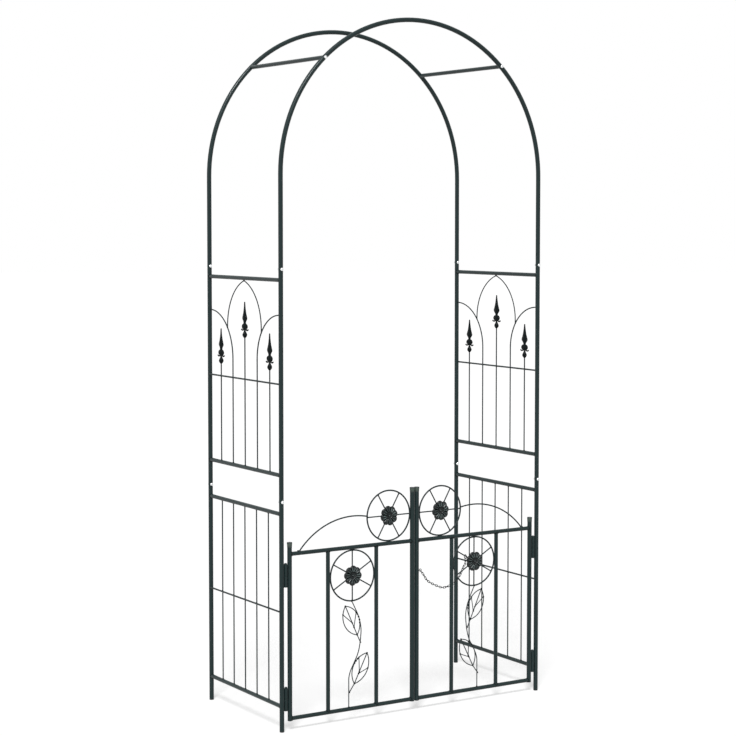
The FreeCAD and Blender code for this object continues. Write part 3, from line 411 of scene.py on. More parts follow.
# Black polyethylene with a waxy, matt skin.
black_polyethylene = plastic_material("moulded_black_polyethylene", "#0d0f10", "#17191a", 0.55)

plugs = bmesh.new()
for end in ENDS:
    for side in SIDES:
        post, half = middle_mm(f"{end}_{side}_lower_post")
        stopper(plugs, (post.x, post.y, 0), half.x, PLUG_RIM, PLUG_DEPTH)
finish_piece(
    "foot_plugs_moulded",
    plugs,
    black_polyethylene,
    "arch_frame",
    ["post_foot_plugs"],
)

# Crossbars: two 14 mm tubes that tie the arches together, coped to the bends and screwed from
# outside into a threaded steel insert that is pressed into each end.

ZINC_GRIT_MM = 0.8
# A pan head's outline from its flat top down to its seat, as radius and height in mm.
PAN_OUTLINE = ((3.1, 3.5), (4.2, 3.2), (5.0, 2.5), (5.4, 1.6), (5.5, 0.7), (5.35, 0))
PAN_HEIGHT = PAN_OUTLINE[0][1]
SHANK_RADIUS = 3
SHANK_PLAIN = 4
SHANK_CHAMFER = 0.6
THREAD_PITCH = 1
THREAD_DEPTH = 0.35
RECESS_ARM = 2.6
RECESS_HALF_WIDTH = 0.75
RECESS_DEPTH = 1.9
RECESS_TAPER = 0.7
SCREW_LENGTH = 30
SCREW_STEPS = 24

# Zinc plate on steel is a bright bluish white metal, dulled in fine cloudy spots.
zinc, zinc_tree = new_material("bright_zinc_plate")
_, zinc_cloud, zinc_tint = clouded_colour(zinc_tree, ZINC_GRIT_MM, "#e9ecee", "#f6f7f6")
zinc_gloss = add_node(
    zinc_tree,
    "ShaderNodeMapRange",
    inputs={"To Min": 0.24, "To Max": 0.42},
    links={"Value": zinc_cloud.outputs[0]},
)
zinc_surface = add_node(
    zinc_tree,
    "ShaderNodeBsdfPrincipled",
    inputs={"Metallic": 1.0},
    links={"Base Color": zinc_tint.outputs[2], "Roughness": zinc_gloss.outputs[0]},
)
add_node(zinc_tree, "ShaderNodeOutputMaterial", links={"Surface": zinc_surface.outputs[0]})


def pan_screw(mesh, seat, axis, length):
    """A pan-head machine screw: its cross-recessed head outside the seat, its shank inside."""
    along = Vector(axis).normalized()
    profile = [(radius, -height) for radius, height in PAN_OUTLINE] + [(SHANK_RADIUS, 0)]
    threads = int((length - SHANK_PLAIN) / THREAD_PITCH)
    profile.append((SHANK_RADIUS, length - threads * THREAD_PITCH))
    for k in range(threads):
        root = length - (threads - k) * THREAD_PITCH
        profile.append((SHANK_RADIUS - THREAD_DEPTH, root + THREAD_PITCH / 4))
        profile.append((SHANK_RADIUS, root + THREAD_PITCH * 3 / 4))
    profile += [(SHANK_RADIUS - SHANK_CHAMFER, length), (0, length)]
    profile.append((0, -PAN_HEIGHT + RECESS_DEPTH))
    rings = turned(mesh, profile, seat, axis, SCREW_STEPS)
    top = rings[0]
    mesh.verts.remove(rings[-1][0])
    across = along.orthogonal().normalized()
    third = along.cross(across)
    cross = []
    for k in range(4):
        turn = math.radians(90 * k)
        arm = across * math.cos(turn) + third * math.sin(turn)
        left = along.cross(arm)
        cross += [
            arm * RECESS_ARM - left * RECESS_HALF_WIDTH,
            arm * RECESS_ARM + left * RECESS_HALF_WIDTH,
            arm * RECESS_HALF_WIDTH + left * RECESS_HALF_WIDTH,
        ]
    loops = []
    for shrink, depth in ((1.0, 0), (RECESS_TAPER, RECESS_DEPTH)):
        level = Vector(seat) + along * (depth - PAN_HEIGHT)
        loops.append([mesh.verts.new((level + point * shrink) * MM) for point in cross])
    for k in range(len(cross)):
        after = (k + 1) % len(cross)
        mesh.faces.new([loops[0][k], loops[0][after], loops[1][after], loops[1][k]])
        near, middle, far = (top[(2 * k + step) % SCREW_STEPS] for step in range(3))
        mesh.faces.new([loops[0][k], loops[0][after], far, middle, near])
    mesh.faces.new(loops[1])


screws = bmesh.new()
for end, depth_sign in ENDS.items():
    for side in SIDES:
        bar, _ = middle_mm(f"{side}_arch_crossbar")
        arch, arch_half = middle_mm(f"{end}_arch_tube")
        seat = (bar.x, arch.y + depth_sign * arch_half.y, bar.z)
        pan_screw(screws, seat, (0, -depth_sign, 0), SCREW_LENGTH)
finish_piece(
    "crossbar_pan_screws", screws, zinc, "arch_frame", ["crossbar_screws"]
)
dress("crossbar_thread_inserts", zinc)
for side in SIDES:
    dress(f"{side}_arch_crossbar", tube_coat)

# Joint bolts and nuts: an M6 pan-head bolt from the front through each plugged joint, with a
# plain hexagon nut behind, both bright zinc plated.

BOLT_ABOVE_SEAM = 20
NUT_HEIGHT = 5
NUT_FLAT_RADIUS = 4.98
NUT_CHAMFER_RADIUS = 4.9
NUT_CHAMFER_ANGLE = 30
BOLT_TAIL = 1.5
NUT_STEPS = 36


def skin(mesh, pairs):
    """Faces between each pair of rings of the same count."""
    for lower, upper in pairs:
        for k in range(len(lower)):
            after = (k + 1) % len(lower)
            mesh.faces.new([lower[k], lower[after], upper[after], upper[k]])


def hexagon_nut(mesh, seat, axis):
    """A nut chamfered at both faces, with two corners level."""
    along = Vector(axis).normalized()
    across = Vector((1, 0, 0))
    third = along.cross(across)
    columns = []
    for k in range(NUT_STEPS):
        angle = 2 * math.pi * k / NUT_STEPS
        off_flat = angle % (math.pi / 3) - math.pi / 6
        corner = NUT_FLAT_RADIUS / math.cos(off_flat)
        drop = max(corner - NUT_CHAMFER_RADIUS, 0) * math.tan(math.radians(NUT_CHAMFER_ANGLE))
        outline = [
            (SHANK_RADIUS, 0),
            (min(corner, NUT_CHAMFER_RADIUS), 0),
            (corner, drop),
            (corner, NUT_HEIGHT - drop),
            (min(corner, NUT_CHAMFER_RADIUS), NUT_HEIGHT),
            (SHANK_RADIUS, NUT_HEIGHT),
        ]
        spoke = across * math.cos(angle) + third * math.sin(angle)
        points = [Vector(seat) + spoke * radius + along * height for radius, height in outline]
        columns.append([mesh.verts.new(point * MM) for point in points])
    rings = list(zip(*columns))
    skin(mesh, zip(rings, rings[1:] + rings[:1]))


bolts = bmesh.new()
nuts = bmesh.new()
for end in ENDS:
    for side in SIDES:
        post, half = middle_mm(f"{end}_{side}_lower_post")
        seams = [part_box(f"{end}_{side}_upper_post")[0].z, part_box(f"{end}_arch_tube")[0].z]
        for seam in seams:
            height = seam / MM + BOLT_ABOVE_SEAM
            front = Vector((post.x, post.y - half.x, height))
            pan_screw(bolts, front, (0, 1, 0), 2 * half.x + NUT_HEIGHT + BOLT_TAIL)
            hexagon_nut(nuts, front + Vector((0, 2 * half.x, 0)), (0, 1, 0))
finish_piece(
    "joint_pan_bolts", bolts, zinc, "arch_frame", ["post_joint_bolts"]
)
finish_piece(
    "joint_hexagon_nuts", nuts, zinc, "arch_frame", ["post_joint_nuts"]
)

# Side panels: 14 mm tube rails coped to the posts, 4.5 mm drawn bars between them, a 6 mm wire
# across the bars and pointed arches of 4 mm wire, all welded and then powder-coated in one.

# The same powder lies thinner on wire, so it is duller there and a shade greyer.
wire_coat = coat_material(
    "powder_coat_on_wire",
    "#222c2d",
    "#2b3536",
    roughness=0.5,
    grain_mm=2.0,
    grain_depth_mm=0.03,
)

for side in SIDES:
    for level in ("lower", "upper"):
        dress(f"{side}_{level}_panel_rails", tube_coat)
        dress(f"{side}_{level}_panel_bars", wire_coat)
dress("panel_mid_wires", wire_coat)
dress("panel_lancet_wires", wire_coat)

# Spear finials: sand-cast iron points welded on the first, third and fifth bar of each upper
# panel: an egg-shaped bulb, a collar between two scrolls with horns, and a four-sided blade.

BARS = 5
BAR_PITCH = 87
BAR_SHIFT = -4.5
SPEAR_STEPS = 32
BLADE_FOOT = 50
BLADE_SHARPNESS = 0.94

# How far each spear stands above the lowest ones, by the number of its bar.
SPEAR_RISE = {0: 0, 2: 99.5, 4: 0}

# Each level of the casting: height, half width, half thickness, how square and how lobed it is.
SPEAR_LEVELS = [
    (0.0, 3.0, 3.0, 0, 0),
    (1.0, 4.2, 4.2, 0, 0),
    (3.4, 5.9, 5.9, 0, 0),
    (6.4, 7.7, 7.7, 0, 0),
    (9.2, 8.5, 8.3, 0, 0),
    (12.0, 8.4, 8.2, 0, 0),
    (15.4, 7.1, 7.0, 0, 0),
    (19.0, 5.2, 5.1, 0, 0),
    (22.4, 3.7, 3.6, 0, 0),
    (26.0, 3.0, 3.0, 0, 0),
    (29.0, 4.4, 3.8, 0, 0),
    (31.0, 8.0, 5.0, 0, 0.1),
    (33.4, 12.0, 6.2, 0, 0.25),
    (36.4, 14.0, 7.0, 0, 0.3),
    (39.0, 14.2, 7.2, 0, 0.3),
    (41.6, 12.6, 6.6, 0, 0.26),
    (44.4, 9.6, 5.8, 0, 0.18),
    (47.2, 7.0, 5.4, 0.2, 0.06),
    (48.6, 6.4, 5.2, 0.4, 0.02),
    (50.0, 6.6, 5.1, 0.7, 0),
    (53.0, 8.2, 5.2, 0.9, 0),
    (57.0, 11.4, 5.6, 1, 0),
    (61.0, 15.4, 6.2, 1, 0),
    (64.4, 18.1, 6.5, 1, 0),
    (66.8, 18.7, 6.5, 1, 0),
    (69.6, 18.1, 6.4, 1, 0),
    (76.0, 15.1, 5.9, 1, 0),
    (85.0, 11.3, 5.0, 1, 0),
    (95.0, 8.6, 4.0, 1, 0),
    (105.0, 6.4, 3.3, 1, 0),
    (113.0, 4.9, 2.9, 0.9, 0),
    (119.0, 3.8, 2.6, 0.7, 0),
    (122.6, 3.0, 2.2, 0.4, 0),
    (123.5, 1.9, 1.5, 0, 0),
]

# The scroll's and the horn's own lines, in mm outward from the axis and down from the blade's
# foot, with the half thickness of the casting at each point.
SCROLL_ROUTE = [
    (3.5, 4.0, 2.2),
    (8.6, 3.4, 2.6),
    (13.2, 6.2, 3.0),
    (15.8, 11.4, 3.2),
    (14.4, 16.4, 2.8),
    (9.8, 19.0, 2.4),
    (3.5, 19.2, 2.2),
]
HORN_ROUTE = [
    (2.5, 18.8, 2.6),
    (8.0, 21.4, 2.8),
    (14.6, 24.2, 2.7),
    (19.2, 24.0, 2.7),
    (23.2, 21.8, 2.5),
]
SCROLL_SMOOTHING = 3
KNOB_STEPS = 4
KNOB_TURN = 20


def closed_loft(mesh, loops):
    """Skins a stack of equal loops and caps both ends."""
    rings = [[mesh.verts.new(point * MM) for point in loop] for loop in loops]
    skin(mesh, zip(rings, rings[1:]))
    mesh.faces.new(rings[0][::-1])
    mesh.faces.new(rings[-1])


def spear_section(at, height, width, thickness, square, lobed):
    """One level of the casting: an oval that turns into a diamond or into four leaves."""
    points = []
    for k in range(SPEAR_STEPS):
        angle = 2 * math.pi * k / SPEAR_STEPS
        cosine, sine = math.cos(angle), math.sin(angle)
        diamond = 1 / (abs(cosine) + abs(sine))
        reach = 1 - square * BLADE_SHARPNESS * (1 - diamond)
        reach *= 1 - lobed * math.sin(2 * angle) ** 2
        points.append(at + Vector((thickness * reach * sine, width * reach * cosine, height)))
    return points


def tapered_tube(mesh, points, radii, sides=10):
    """A closed tube that follows points in mm with a radius at each, in a steady frame."""
    loops = []
    normal = None
    for k, point in enumerate(points):
        before, beyond = points[max(k - 1, 0)], points[min(k + 1, len(points) - 1)]
        along = (beyond - before).normalized()
        normal = along.orthogonal() if normal is None else normal - along * normal.dot(along)
        normal.normalize()
        third = along.cross(normal)
        loop = []
        for j in range(sides):
            angle = 2 * math.pi * j / sides
            loop.append(point + (normal * math.cos(angle) + third * math.sin(angle)) * radii[k])
        loops.append(loop)
    closed_loft(mesh, loops)


def scroll(mesh, at, sign, route):
    """A scroll or a horn of the casting: a smooth, tapered line with a knobbed end."""
    line = [Vector(point) for point in route]
    for _ in range(SCROLL_SMOOTHING):
        eased = [line[0]]
        for one, two in zip(line, line[1:]):
            eased += [one.lerp(two, 0.25), one.lerp(two, 0.75)]
        line = eased + [line[-1]]
    points = [at + Vector((0, sign * out, BLADE_FOOT - down)) for out, down, _ in line]
    radii = [radius for _, _, radius in line]
    heading = (points[-1] - points[-2]).normalized()
    knob, knob_radius = points[-1], radii[-1]
    for k in range(1, KNOB_STEPS + 1):
        turn = math.radians(KNOB_TURN * k)
        points.append(knob + heading * knob_radius * math.sin(turn))
        radii.append(knob_radius * math.cos(turn))
    tapered_tube(mesh, points, radii)


# Iron with the rough face of its sand mould under a thin coat of powder: matt and nearly black.
# The sand's grain is about 0.3 mm. It is drawn far coarser here, or it would not show.
spear_coat = coat_material(
    "powder_coat_on_spear",
    "#0e1415",
    "#171e1f",
    roughness=0.42,
    grain_mm=2.6,
    grain_depth_mm=0.12,
    shine=0.07,
)

spears = bmesh.new()
for side in SIDES:
    bars, _ = middle_mm(f"{side}_lower_panel_bars")
    base = corners_mm("spear_finials")[0].z
    for place, rise in SPEAR_RISE.items():
        at = Vector((bars.x, (place - BARS // 2) * BAR_PITCH + BAR_SHIFT, base + rise))
        closed_loft(spears, [spear_section(at, *level) for level in SPEAR_LEVELS])
        for sign in (-1, 1):
            scroll(spears, at, sign, SCROLL_ROUTE)
            scroll(spears, at, sign, HORN_ROUTE)
finish_piece(
    "spear_castings",
    spears,
    spear_coat,
    "arch_frame",
    ["spear_finials"],
    crease=40,
)

# Hinges: rolled steel knuckles welded to post and stile, and a round-headed pin that drops
# through each pair from above and is tight in the post's knuckle.

HINGE_AXIS_X = 516.5
HINGE_BASES = (70, 489)
HINGE_PLAY = 0.3
KNUCKLE_RADIUS = 6.5
KNUCKLE_LENGTH = 38
KNUCKLE_EDGE = 0.9
PIN_RADIUS = 3.5
PIN_PLAY = 0.05
PIN_CHAMFER = 0.6
PIN_HEAD_RADIUS = 5.25
PIN_HEAD_HEIGHT = 6
PIN_HEAD_EDGE = 0.4
PIN_HEAD_SKIRT = 1.4
PIN_HEAD_STEPS = 8
PIN_STEPS = 32
TAB_HALF = 2.5
TAB_EDGE = 0.6
TAB_SETBACK = 1
TAB_IN_KNUCKLE = 1.2
TAB_IN_TUBE = 0.5


def knuckle(mesh, at, bore):
    """A rolled tube knuckle with both rims rounded over."""
    edge = KNUCKLE_EDGE
    outer = KNUCKLE_RADIUS - edge
    profile = [(bore, 0)] + rounded(outer, edge, edge, -90, 0)
    profile += rounded(outer, KNUCKLE_LENGTH - edge, edge, 0, 90) + [(bore, KNUCKLE_LENGTH)]
    turned(mesh, profile, at)


def slab(mesh, corner, other):
    """A bevelled plate between two corners in mm."""
    low = Vector(min(a, b) for a, b in zip(corner, other))
    high = Vector(max(a, b) for a, b in zip(corner, other))
    middle, size = (low + high) / 2, high - low
    place = Matrix.Translation(middle * MM) @ Matrix.Diagonal((*(size * MM), 1))
    plate = bmesh.new()
    bmesh.ops.create_cube(plate, size=1, matrix=place)
    bmesh.ops.bevel(
        plate,
        geom=list(plate.edges),
        offset=TAB_EDGE * MM,
        segments=2,
        affect="EDGES",
        profile=0.5,
    )
    # A bevel's points come in an order that changes from run to run, so they are sorted by place.
    points = sorted(plate.verts, key=lambda vert: [round(part, 6) for part in vert.co])
    number = {vert: k for k, vert in enumerate(points)}
    rims = [[number[vert] for vert in face.verts] for face in plate.faces]
    rims = [rim[rim.index(min(rim)) :] + rim[: rim.index(min(rim))] for rim in rims]
    points = [mesh.verts.new(vert.co) for vert in points]
    for rim in sorted(rims):
        mesh.faces.new([points[k] for k in rim])
    plate.free()


def hinge_half(mesh, at, bore, face, tube_x):
    """A knuckle and the plate between its face and its tube."""
    knuckle(mesh, at, bore)
    slab(
        mesh,
        (at.x + face, at.y - TAB_HALF, at.z + TAB_SETBACK),
        (tube_x, at.y + TAB_HALF, at.z + KNUCKLE_LENGTH - TAB_SETBACK),
    )


post_knuckles = bmesh.new()
pins = bmesh.new()
gate_knuckles = {side: bmesh.new() for side in SIDES}
for side, sign in SIDES.items():
    face = sign * (KNUCKLE_RADIUS - TAB_IN_KNUCKLE)
    post, post_half = middle_mm(f"front_{side}_lower_post")
    stile, stile_half = middle_mm(f"{side}_gate_hinge_stile")
    post_side = post.x - sign * (post_half.x - TAB_IN_TUBE)
    stile_side = stile.x + sign * (stile_half.x - TAB_IN_TUBE)
    for base in HINGE_BASES:
        at = Vector((sign * HINGE_AXIS_X, post.y, base))
        above = at + Vector((0, 0, KNUCKLE_LENGTH + HINGE_PLAY))
        hinge_half(post_knuckles, at, PIN_RADIUS, face, post_side)
        hinge_half(gate_knuckles[side], above, PIN_RADIUS + PIN_PLAY, -face, stile_side)
        seat = 2 * (KNUCKLE_LENGTH + HINGE_PLAY)
        outline = [(0, 0), (PIN_RADIUS - PIN_CHAMFER, 0), (PIN_RADIUS, PIN_CHAMFER)]
        outline += [(PIN_RADIUS, seat), (PIN_HEAD_RADIUS - PIN_HEAD_EDGE, seat)]
        outline.append((PIN_HEAD_RADIUS, seat + PIN_HEAD_EDGE))
        dome_height = PIN_HEAD_HEIGHT - PIN_HEAD_SKIRT
        for k in range(PIN_HEAD_STEPS):
            angle = math.radians(90 * k / (PIN_HEAD_STEPS - 1))
            radius = PIN_HEAD_RADIUS * math.cos(angle) if k < PIN_HEAD_STEPS - 1 else 0
            outline.append((radius, seat + PIN_HEAD_SKIRT + dome_height * math.sin(angle)))
        turned(pins, outline, at, steps=PIN_STEPS)
finish_piece(
    "hinge_pins_turned", pins, tube_coat, "arch_frame", ["hinge_pins"]
)
finish_piece(
    "post_knuckles_rolled",
    post_knuckles,
    tube_coat,
    "arch_frame",
    ["hinge_post_knuckles"],
)
for side in SIDES:
    finish_piece(
        f"{side}_gate_knuckles_rolled",
        gate_knuckles[side],
        tube_coat,
        f"{side}_gate",
        [f"{side}_gate_hinge_knuckles"],
    )

# Gate frames: each leaf has a 16 mm hinge stile and a taller meeting stile, and 14 mm rails and
# uprights between them, coped and welded.

for side in SIDES:
    dress(f"{side}_gate_hinge_stile", tube_coat)
    dress(f"{side}_gate_meeting_stile", tube_coat)
    for part in ("top_rail", "bottom_rail", "uprights"):
        dress(f"{side}_gate_{part}", tube_coat)

# Stile caps: grey moulded caps that grip the top of each stile and flare to a rounded rim, and
# flush stoppers in its foot.

CAP_RADIUS = 9.25
CAP_ROOF = 4
CAP_EDGE = 1.5
# The cap's outline from the inside of its skirt up: how far outside the tube and how high over
# the tube's end, and then radius and height of its flare, in mm.
CAP_SKIRT = ((0, -13), (0.35, -13), (0.45, -8), (0.75, -4))
CAP_FLARE = ((9.1, -1), (CAP_RADIUS, 1))
FOOT_FLANGE = 3
FOOT_PLUG_DEPTH = 10


def tone_by(material, attribute, colour):
    """Shifts the colour towards another where the mesh's own attribute says so."""
    tree = material.node_tree
    surface = next(node for node in tree.nodes if node.type == "BSDF_PRINCIPLED")
    amount = add_node(tree, "ShaderNodeAttribute", {"attribute_name": attribute})
    tint = add_node(
        tree,
        "ShaderNodeMix",
        {"data_type": "RGBA"},
        {7: linear(colour)},
        {0: amount.outputs["Fac"], 6: surface.inputs["Base Color"].links[0].from_socket},
    )
    tree.links.new(tint.outputs[2], surface.inputs["Base Color"])


# Dark grey polyethylene with a painted highlight: a band round the flare is tinted paler, fading
# out down the skirt and over the rounded roof, which keep a dark grey as dark as the steel.
grey_polyethylene = plastic_material("moulded_grey_polyethylene", "#1e2728", "#2a3435", 0.5)
tone_by(grey_polyethylene, "flare_highlight", "#495850")

# How much painted highlight each point of the cap's outline has, from the inside of its skirt up.
CAP_FLARE_HIGHLIGHT = (0.0, 0.1, 0.45, 0.9, 1.0, 0.55, 0.1)


def flared_cap(mesh, top, radius):
    """A cap over a tube's end, narrow at its skirt and flared under a rounded roof."""
    profile = [(radius + outside, height) for outside, height in CAP_SKIRT]
    profile += CAP_FLARE
    profile += rounded(CAP_RADIUS - CAP_EDGE, CAP_ROOF - CAP_EDGE, CAP_EDGE, 0, 90)
    profile += [(CAP_RADIUS / 2, CAP_ROOF), (0, CAP_ROOF), (0, 0), (radius, 0)]
    # Each point of the outline keeps its share of painted highlight on the mesh.
    flare_highlight = mesh.verts.layers.float.get("flare_highlight") or mesh.verts.layers.float.new("flare_highlight")
    for ring, amount in zip(turned(mesh, profile, top), CAP_FLARE_HIGHLIGHT):
        for vert in ring:
            vert[flare_highlight] = amount


for side in SIDES:
    caps = bmesh.new()
    for stile_name in ("hinge_stile", "meeting_stile"):
        stile, half = middle_mm(f"{side}_gate_{stile_name}")
        flared_cap(caps, (stile.x, stile.y, stile.z + half.z), half.x)
        foot = stile.z - half.z - FOOT_FLANGE
        stopper(caps, (stile.x, stile.y, foot), half.x, FOOT_FLANGE, FOOT_PLUG_DEPTH)
    finish_piece(
        f"{side}_stile_caps_moulded",
        caps,
        grey_polyethylene,
        f"{side}_gate",
        [f"{side}_gate_stile_end_caps"],
    )

# Wheels: rings of 5.5 mm wire, butt-welded, each with six 4.5 mm spokes that meet at a disc. The
# lower one fits between the leaf's uprights, the upper one stands on its top rail.

WHEEL_RADIUS = 90
SPOKES = 6
wheel_low, wheel_high = corners_mm("right_gate_wheel_rings")
GATE_LINE = (wheel_low.y + wheel_high.y) / 2
# The lower and the upper wheel's centre on the right leaf, as (x, z).
WHEEL_CENTRES = (
    (wheel_high.x - WHEEL_RADIUS, wheel_low.z + WHEEL_RADIUS),
    (wheel_low.x + WHEEL_RADIUS, wheel_high.z - WHEEL_RADIUS),
)

for side in SIDES:
    dress(f"{side}_gate_wheel_rings", wire_coat)
    dress(f"{side}_gate_wheel_spokes", wire_coat)

# Rosettes: cast eight-petal flowers welded over the plain disc where the spokes meet. Every petal
# has two ribs, and the middle is a dark dish with a small button. The crests of the ribs and the
# button carry a painted highlight, a paler grey.

PETALS = 8
PETAL_REACH = 35.2
PETAL_NOTCH = 5.5
PETAL_LENGTHS = (0.98, 1.01)
# How strong the painted highlight on each petal's crests is, drawn at random for every petal.
PETAL_HIGHLIGHT = (0.15, 1.0)
ROSETTE_BACK = 2.25
ROSETTE_RIM = 1.4
CROWN_INNER = 15
CROWN_OUTER = 25
CROWN_HEIGHT = 6.4
DISH_RADIUS = 8.5
DISH_HEIGHT = 1.2
BUTTON_RADIUS = 4.4
BUTTON_HEIGHT = 6.6
# The painted highlight at the top of the button.
BUTTON_PAINTED_HIGHLIGHT = 0.7
RIB_HEIGHT = 3.4
PETAL_FURROW = 3.0
PETAL_ROUNDNESS = 0.6
# The bare margin of the ribs and of the painted highlight on their crests at the dish and at the
# rim, and the width over which they fade in, in mm; the last line is in shares of a rib's height.
RIBS_FROM_DISH = (1.5, 5)
RIBS_FROM_RIM = (1, 6)
HIGHLIGHT_FROM_DISH = (3, 4)
HIGHLIGHT_FROM_RIM = (5, 5)
HIGHLIGHT_FROM_FURROW = (0.35, 0.6)
ROSETTE_TURNS = {"left": (-3.7, 12.7), "right": (21.0, 8.6)}
ROSETTE_STEPS = 192
ROSETTE_RINGS = 28
RING_CROWDING = 0.85
BACK_EDGE = 0.3
HUB_RADIUS = 11
HUB_EDGE = 0.6
HUB_STEPS = 32

# Sand-cast iron under powder: the cast skin is coarse and takes the light in small uneven glints.
# Its grain is drawn as coarse as the spears' so that it shows.
cast_coat = coat_material(
    "powder_coat_on_casting",
    "#0c1213",
    "#151d1e",
    roughness=0.3,
    grain_mm=2.6,
    grain_depth_mm=0.12,
    shine=0.32,
)
# Painted highlight: the crests of the ribs and the button are tinted a paler grey.
tone_by(cast_coat, "painted_highlight", "#6a7877")


def smooth_step(share):
    """An S-curve from 0 to 1."""
    share = min(max(share, 0), 1)
    return share * share * (3 - 2 * share)


def fade_in(distance, margin, width):
    """0 across a bare margin, then up to 1 over a width."""
    return smooth_step((distance - margin) / width)


def rib_wave(angle):
    """0 in the furrows and 1 on the crests of the two ribs of every petal."""
    return 0.5 - 0.5 * math.cos(2 * PETALS * angle)


def rosette_height(radius, reach, angle):
    """How far the flower stands forward of its back at a point."""
    if radius < BUTTON_RADIUS:
        dome = math.sqrt(1 - (radius / BUTTON_RADIUS) ** 2)
        return DISH_HEIGHT + (BUTTON_HEIGHT - DISH_HEIGHT) * dome
    if radius < CROWN_OUTER:
        rise = smooth_step((radius - DISH_RADIUS) / (CROWN_INNER - DISH_RADIUS))
        height = DISH_HEIGHT + (CROWN_HEIGHT - DISH_HEIGHT) * rise
    else:
        fall = min((radius - CROWN_OUTER) / (reach - CROWN_OUTER), 1)
        height = ROSETTE_RIM + (CROWN_HEIGHT - ROSETTE_RIM) * math.sqrt(1 - fall**2)
    relief = fade_in(radius - DISH_RADIUS, *RIBS_FROM_DISH)
    relief *= fade_in(reach - radius, *RIBS_FROM_RIM)
    furrow = 1 - math.sqrt(abs(math.cos(PETALS * angle / 2)))
    return height + relief * (RIB_HEIGHT * (rib_wave(angle) - 0.5) - PETAL_FURROW * furrow)


def painted_highlight_at(radius, reach, angle):
    """How much painted highlight the crest of a rib or the button gets."""
    if radius < BUTTON_RADIUS:
        return BUTTON_PAINTED_HIGHLIGHT * smooth_step(1 - radius / BUTTON_RADIUS)
    crest = fade_in(rib_wave(angle), *HIGHLIGHT_FROM_FURROW)
    inner = fade_in(radius - DISH_RADIUS, *HIGHLIGHT_FROM_DISH)
    outer = fade_in(reach - radius, *HIGHLIGHT_FROM_RIM)
    return crest * inner * outer


def rosette(mesh, hub, turn, seed):
    """A ribbed flower, its back flat against the spokes."""
    draw = random.Random(seed)
    # Each point keeps its share of painted highlight on the mesh.
    painted_highlight = mesh.verts.layers.float.get("painted_highlight") or mesh.verts.layers.float.new("painted_highlight")
    lengths = [draw.uniform(*PETAL_LENGTHS) for _ in range(PETALS)]
    petal_highlights = [draw.uniform(*PETAL_HIGHLIGHT) for _ in range(PETALS)]
    front = []
    for k in range(ROSETTE_STEPS):
        angle = 2 * math.pi * k / ROSETTE_STEPS
        petal = (angle * PETALS / (2 * math.pi) + 0.5) % PETALS
        bulge = abs(math.cos(PETALS * angle / 2)) ** PETAL_ROUNDNESS
        own, petal_highlight = lengths[int(petal)], petal_highlights[int(petal)]
        reach = PETAL_REACH - PETAL_NOTCH * (1 - bulge) - PETAL_REACH * (1 - own) * bulge
        column = []
        for ring in range(1, ROSETTE_RINGS + 1):
            radius = reach * (ring / ROSETTE_RINGS) ** RING_CROWDING
            height = rosette_height(radius, reach, angle)
            column.append((radius, height, petal_highlight * painted_highlight_at(radius, reach, angle)))
        front.append((angle + turn, column))
    centre = mesh.verts.new((hub + Vector((0, -ROSETTE_BACK - BUTTON_HEIGHT, 0))) * MM)
    centre[painted_highlight] = painted_highlight_at(0, PETAL_REACH, 0)
    rear = mesh.verts.new((hub + Vector((0, -ROSETTE_BACK, 0))) * MM)
    columns = []
    for angle, column in front:
        spoke = Vector((math.cos(angle), 0, math.sin(angle)))
        verts = []
        for radius, height, amount in column:
            point = hub + spoke * radius + Vector((0, -ROSETTE_BACK - height, 0))
            verts.append(mesh.verts.new(point * MM))
            verts[-1][painted_highlight] = amount
        edge = column[-1][0]
        for radius in (edge - BACK_EDGE, edge / 2):
            point = hub + spoke * radius + Vector((0, -ROSETTE_BACK, 0))
            verts.append(mesh.verts.new(point * MM))
        columns.append(verts)
    for one, two in zip(columns, columns[1:] + columns[:1]):
        mesh.faces.new([centre, one[0], two[0]])
        for k in range(len(one) - 1):
            mesh.faces.new([one[k], one[k + 1], two[k + 1], two[k]])
        mesh.faces.new([one[-1], rear, two[-1]])


for side, sign in SIDES.items():
    flowers = bmesh.new()
    for wheel, (x, z) in enumerate(WHEEL_CENTRES):
        hub = Vector((sign * x, GATE_LINE, z))
        rosette(flowers, hub, math.radians(ROSETTE_TURNS[side][wheel]), f"{side}_{wheel}")
        disc = [(0, -ROSETTE_BACK), (HUB_RADIUS, -ROSETTE_BACK)]
        disc += rounded(HUB_RADIUS - HUB_EDGE, ROSETTE_BACK - HUB_EDGE, HUB_EDGE, 0, 90)
        turned(flowers, disc + [(0, ROSETTE_BACK)], hub, (0, 1, 0), HUB_STEPS)
    finish_piece(
        f"{side}_rosette_castings",
        flowers,
        cast_coat,
        f"{side}_gate",
        [f"{side}_gate_rosettes"],
        crease=50,
    )

# Ornament wires: a 5 mm crest that sweeps from the top rail to the upper wheel, and a 3.5 mm stem
# with two pointed leaves of 3.5 and 3 mm wire on its front, all bent and spot-welded.

for side in SIDES:
    for part in ("crest_wire", "stem_wire", "leaf_wires"):
        dress(f"{side}_gate_{part}", wire_coat)

# Welds: every welded tube end has a rippled bead round it, and wires are tacked where they cross
# or land. They went under the powder with the steel; their coat is tinted nearly black as painted
# shade where the parts meet.

BEAD_RADIUS = 1.5
WIRE_BEAD_RADIUS = 1.1
BEAD_STEPS = 28
BEAD_SIDES = 6
TACK_RADIUS = 3.2
TACK_UNEVEN = (0.85, 1.1)
SEAM_STEPS = 14
SEAM_SETBACK = 3
CORNER_DEPTH = 0.6
CORNER_ASIDE = 0.4
# In shares of the bead's own radius: how far it stands out, how high its ripples are, how far
# they and the tacks are off true, and how thin a seam's ends are.
BEAD_PROUD = 0.3
BEAD_RIPPLE = 0.14
SEAM_RIPPLE = 0.15
OFF_TRUE = 0.1
SEAM_TAIL = 0.45
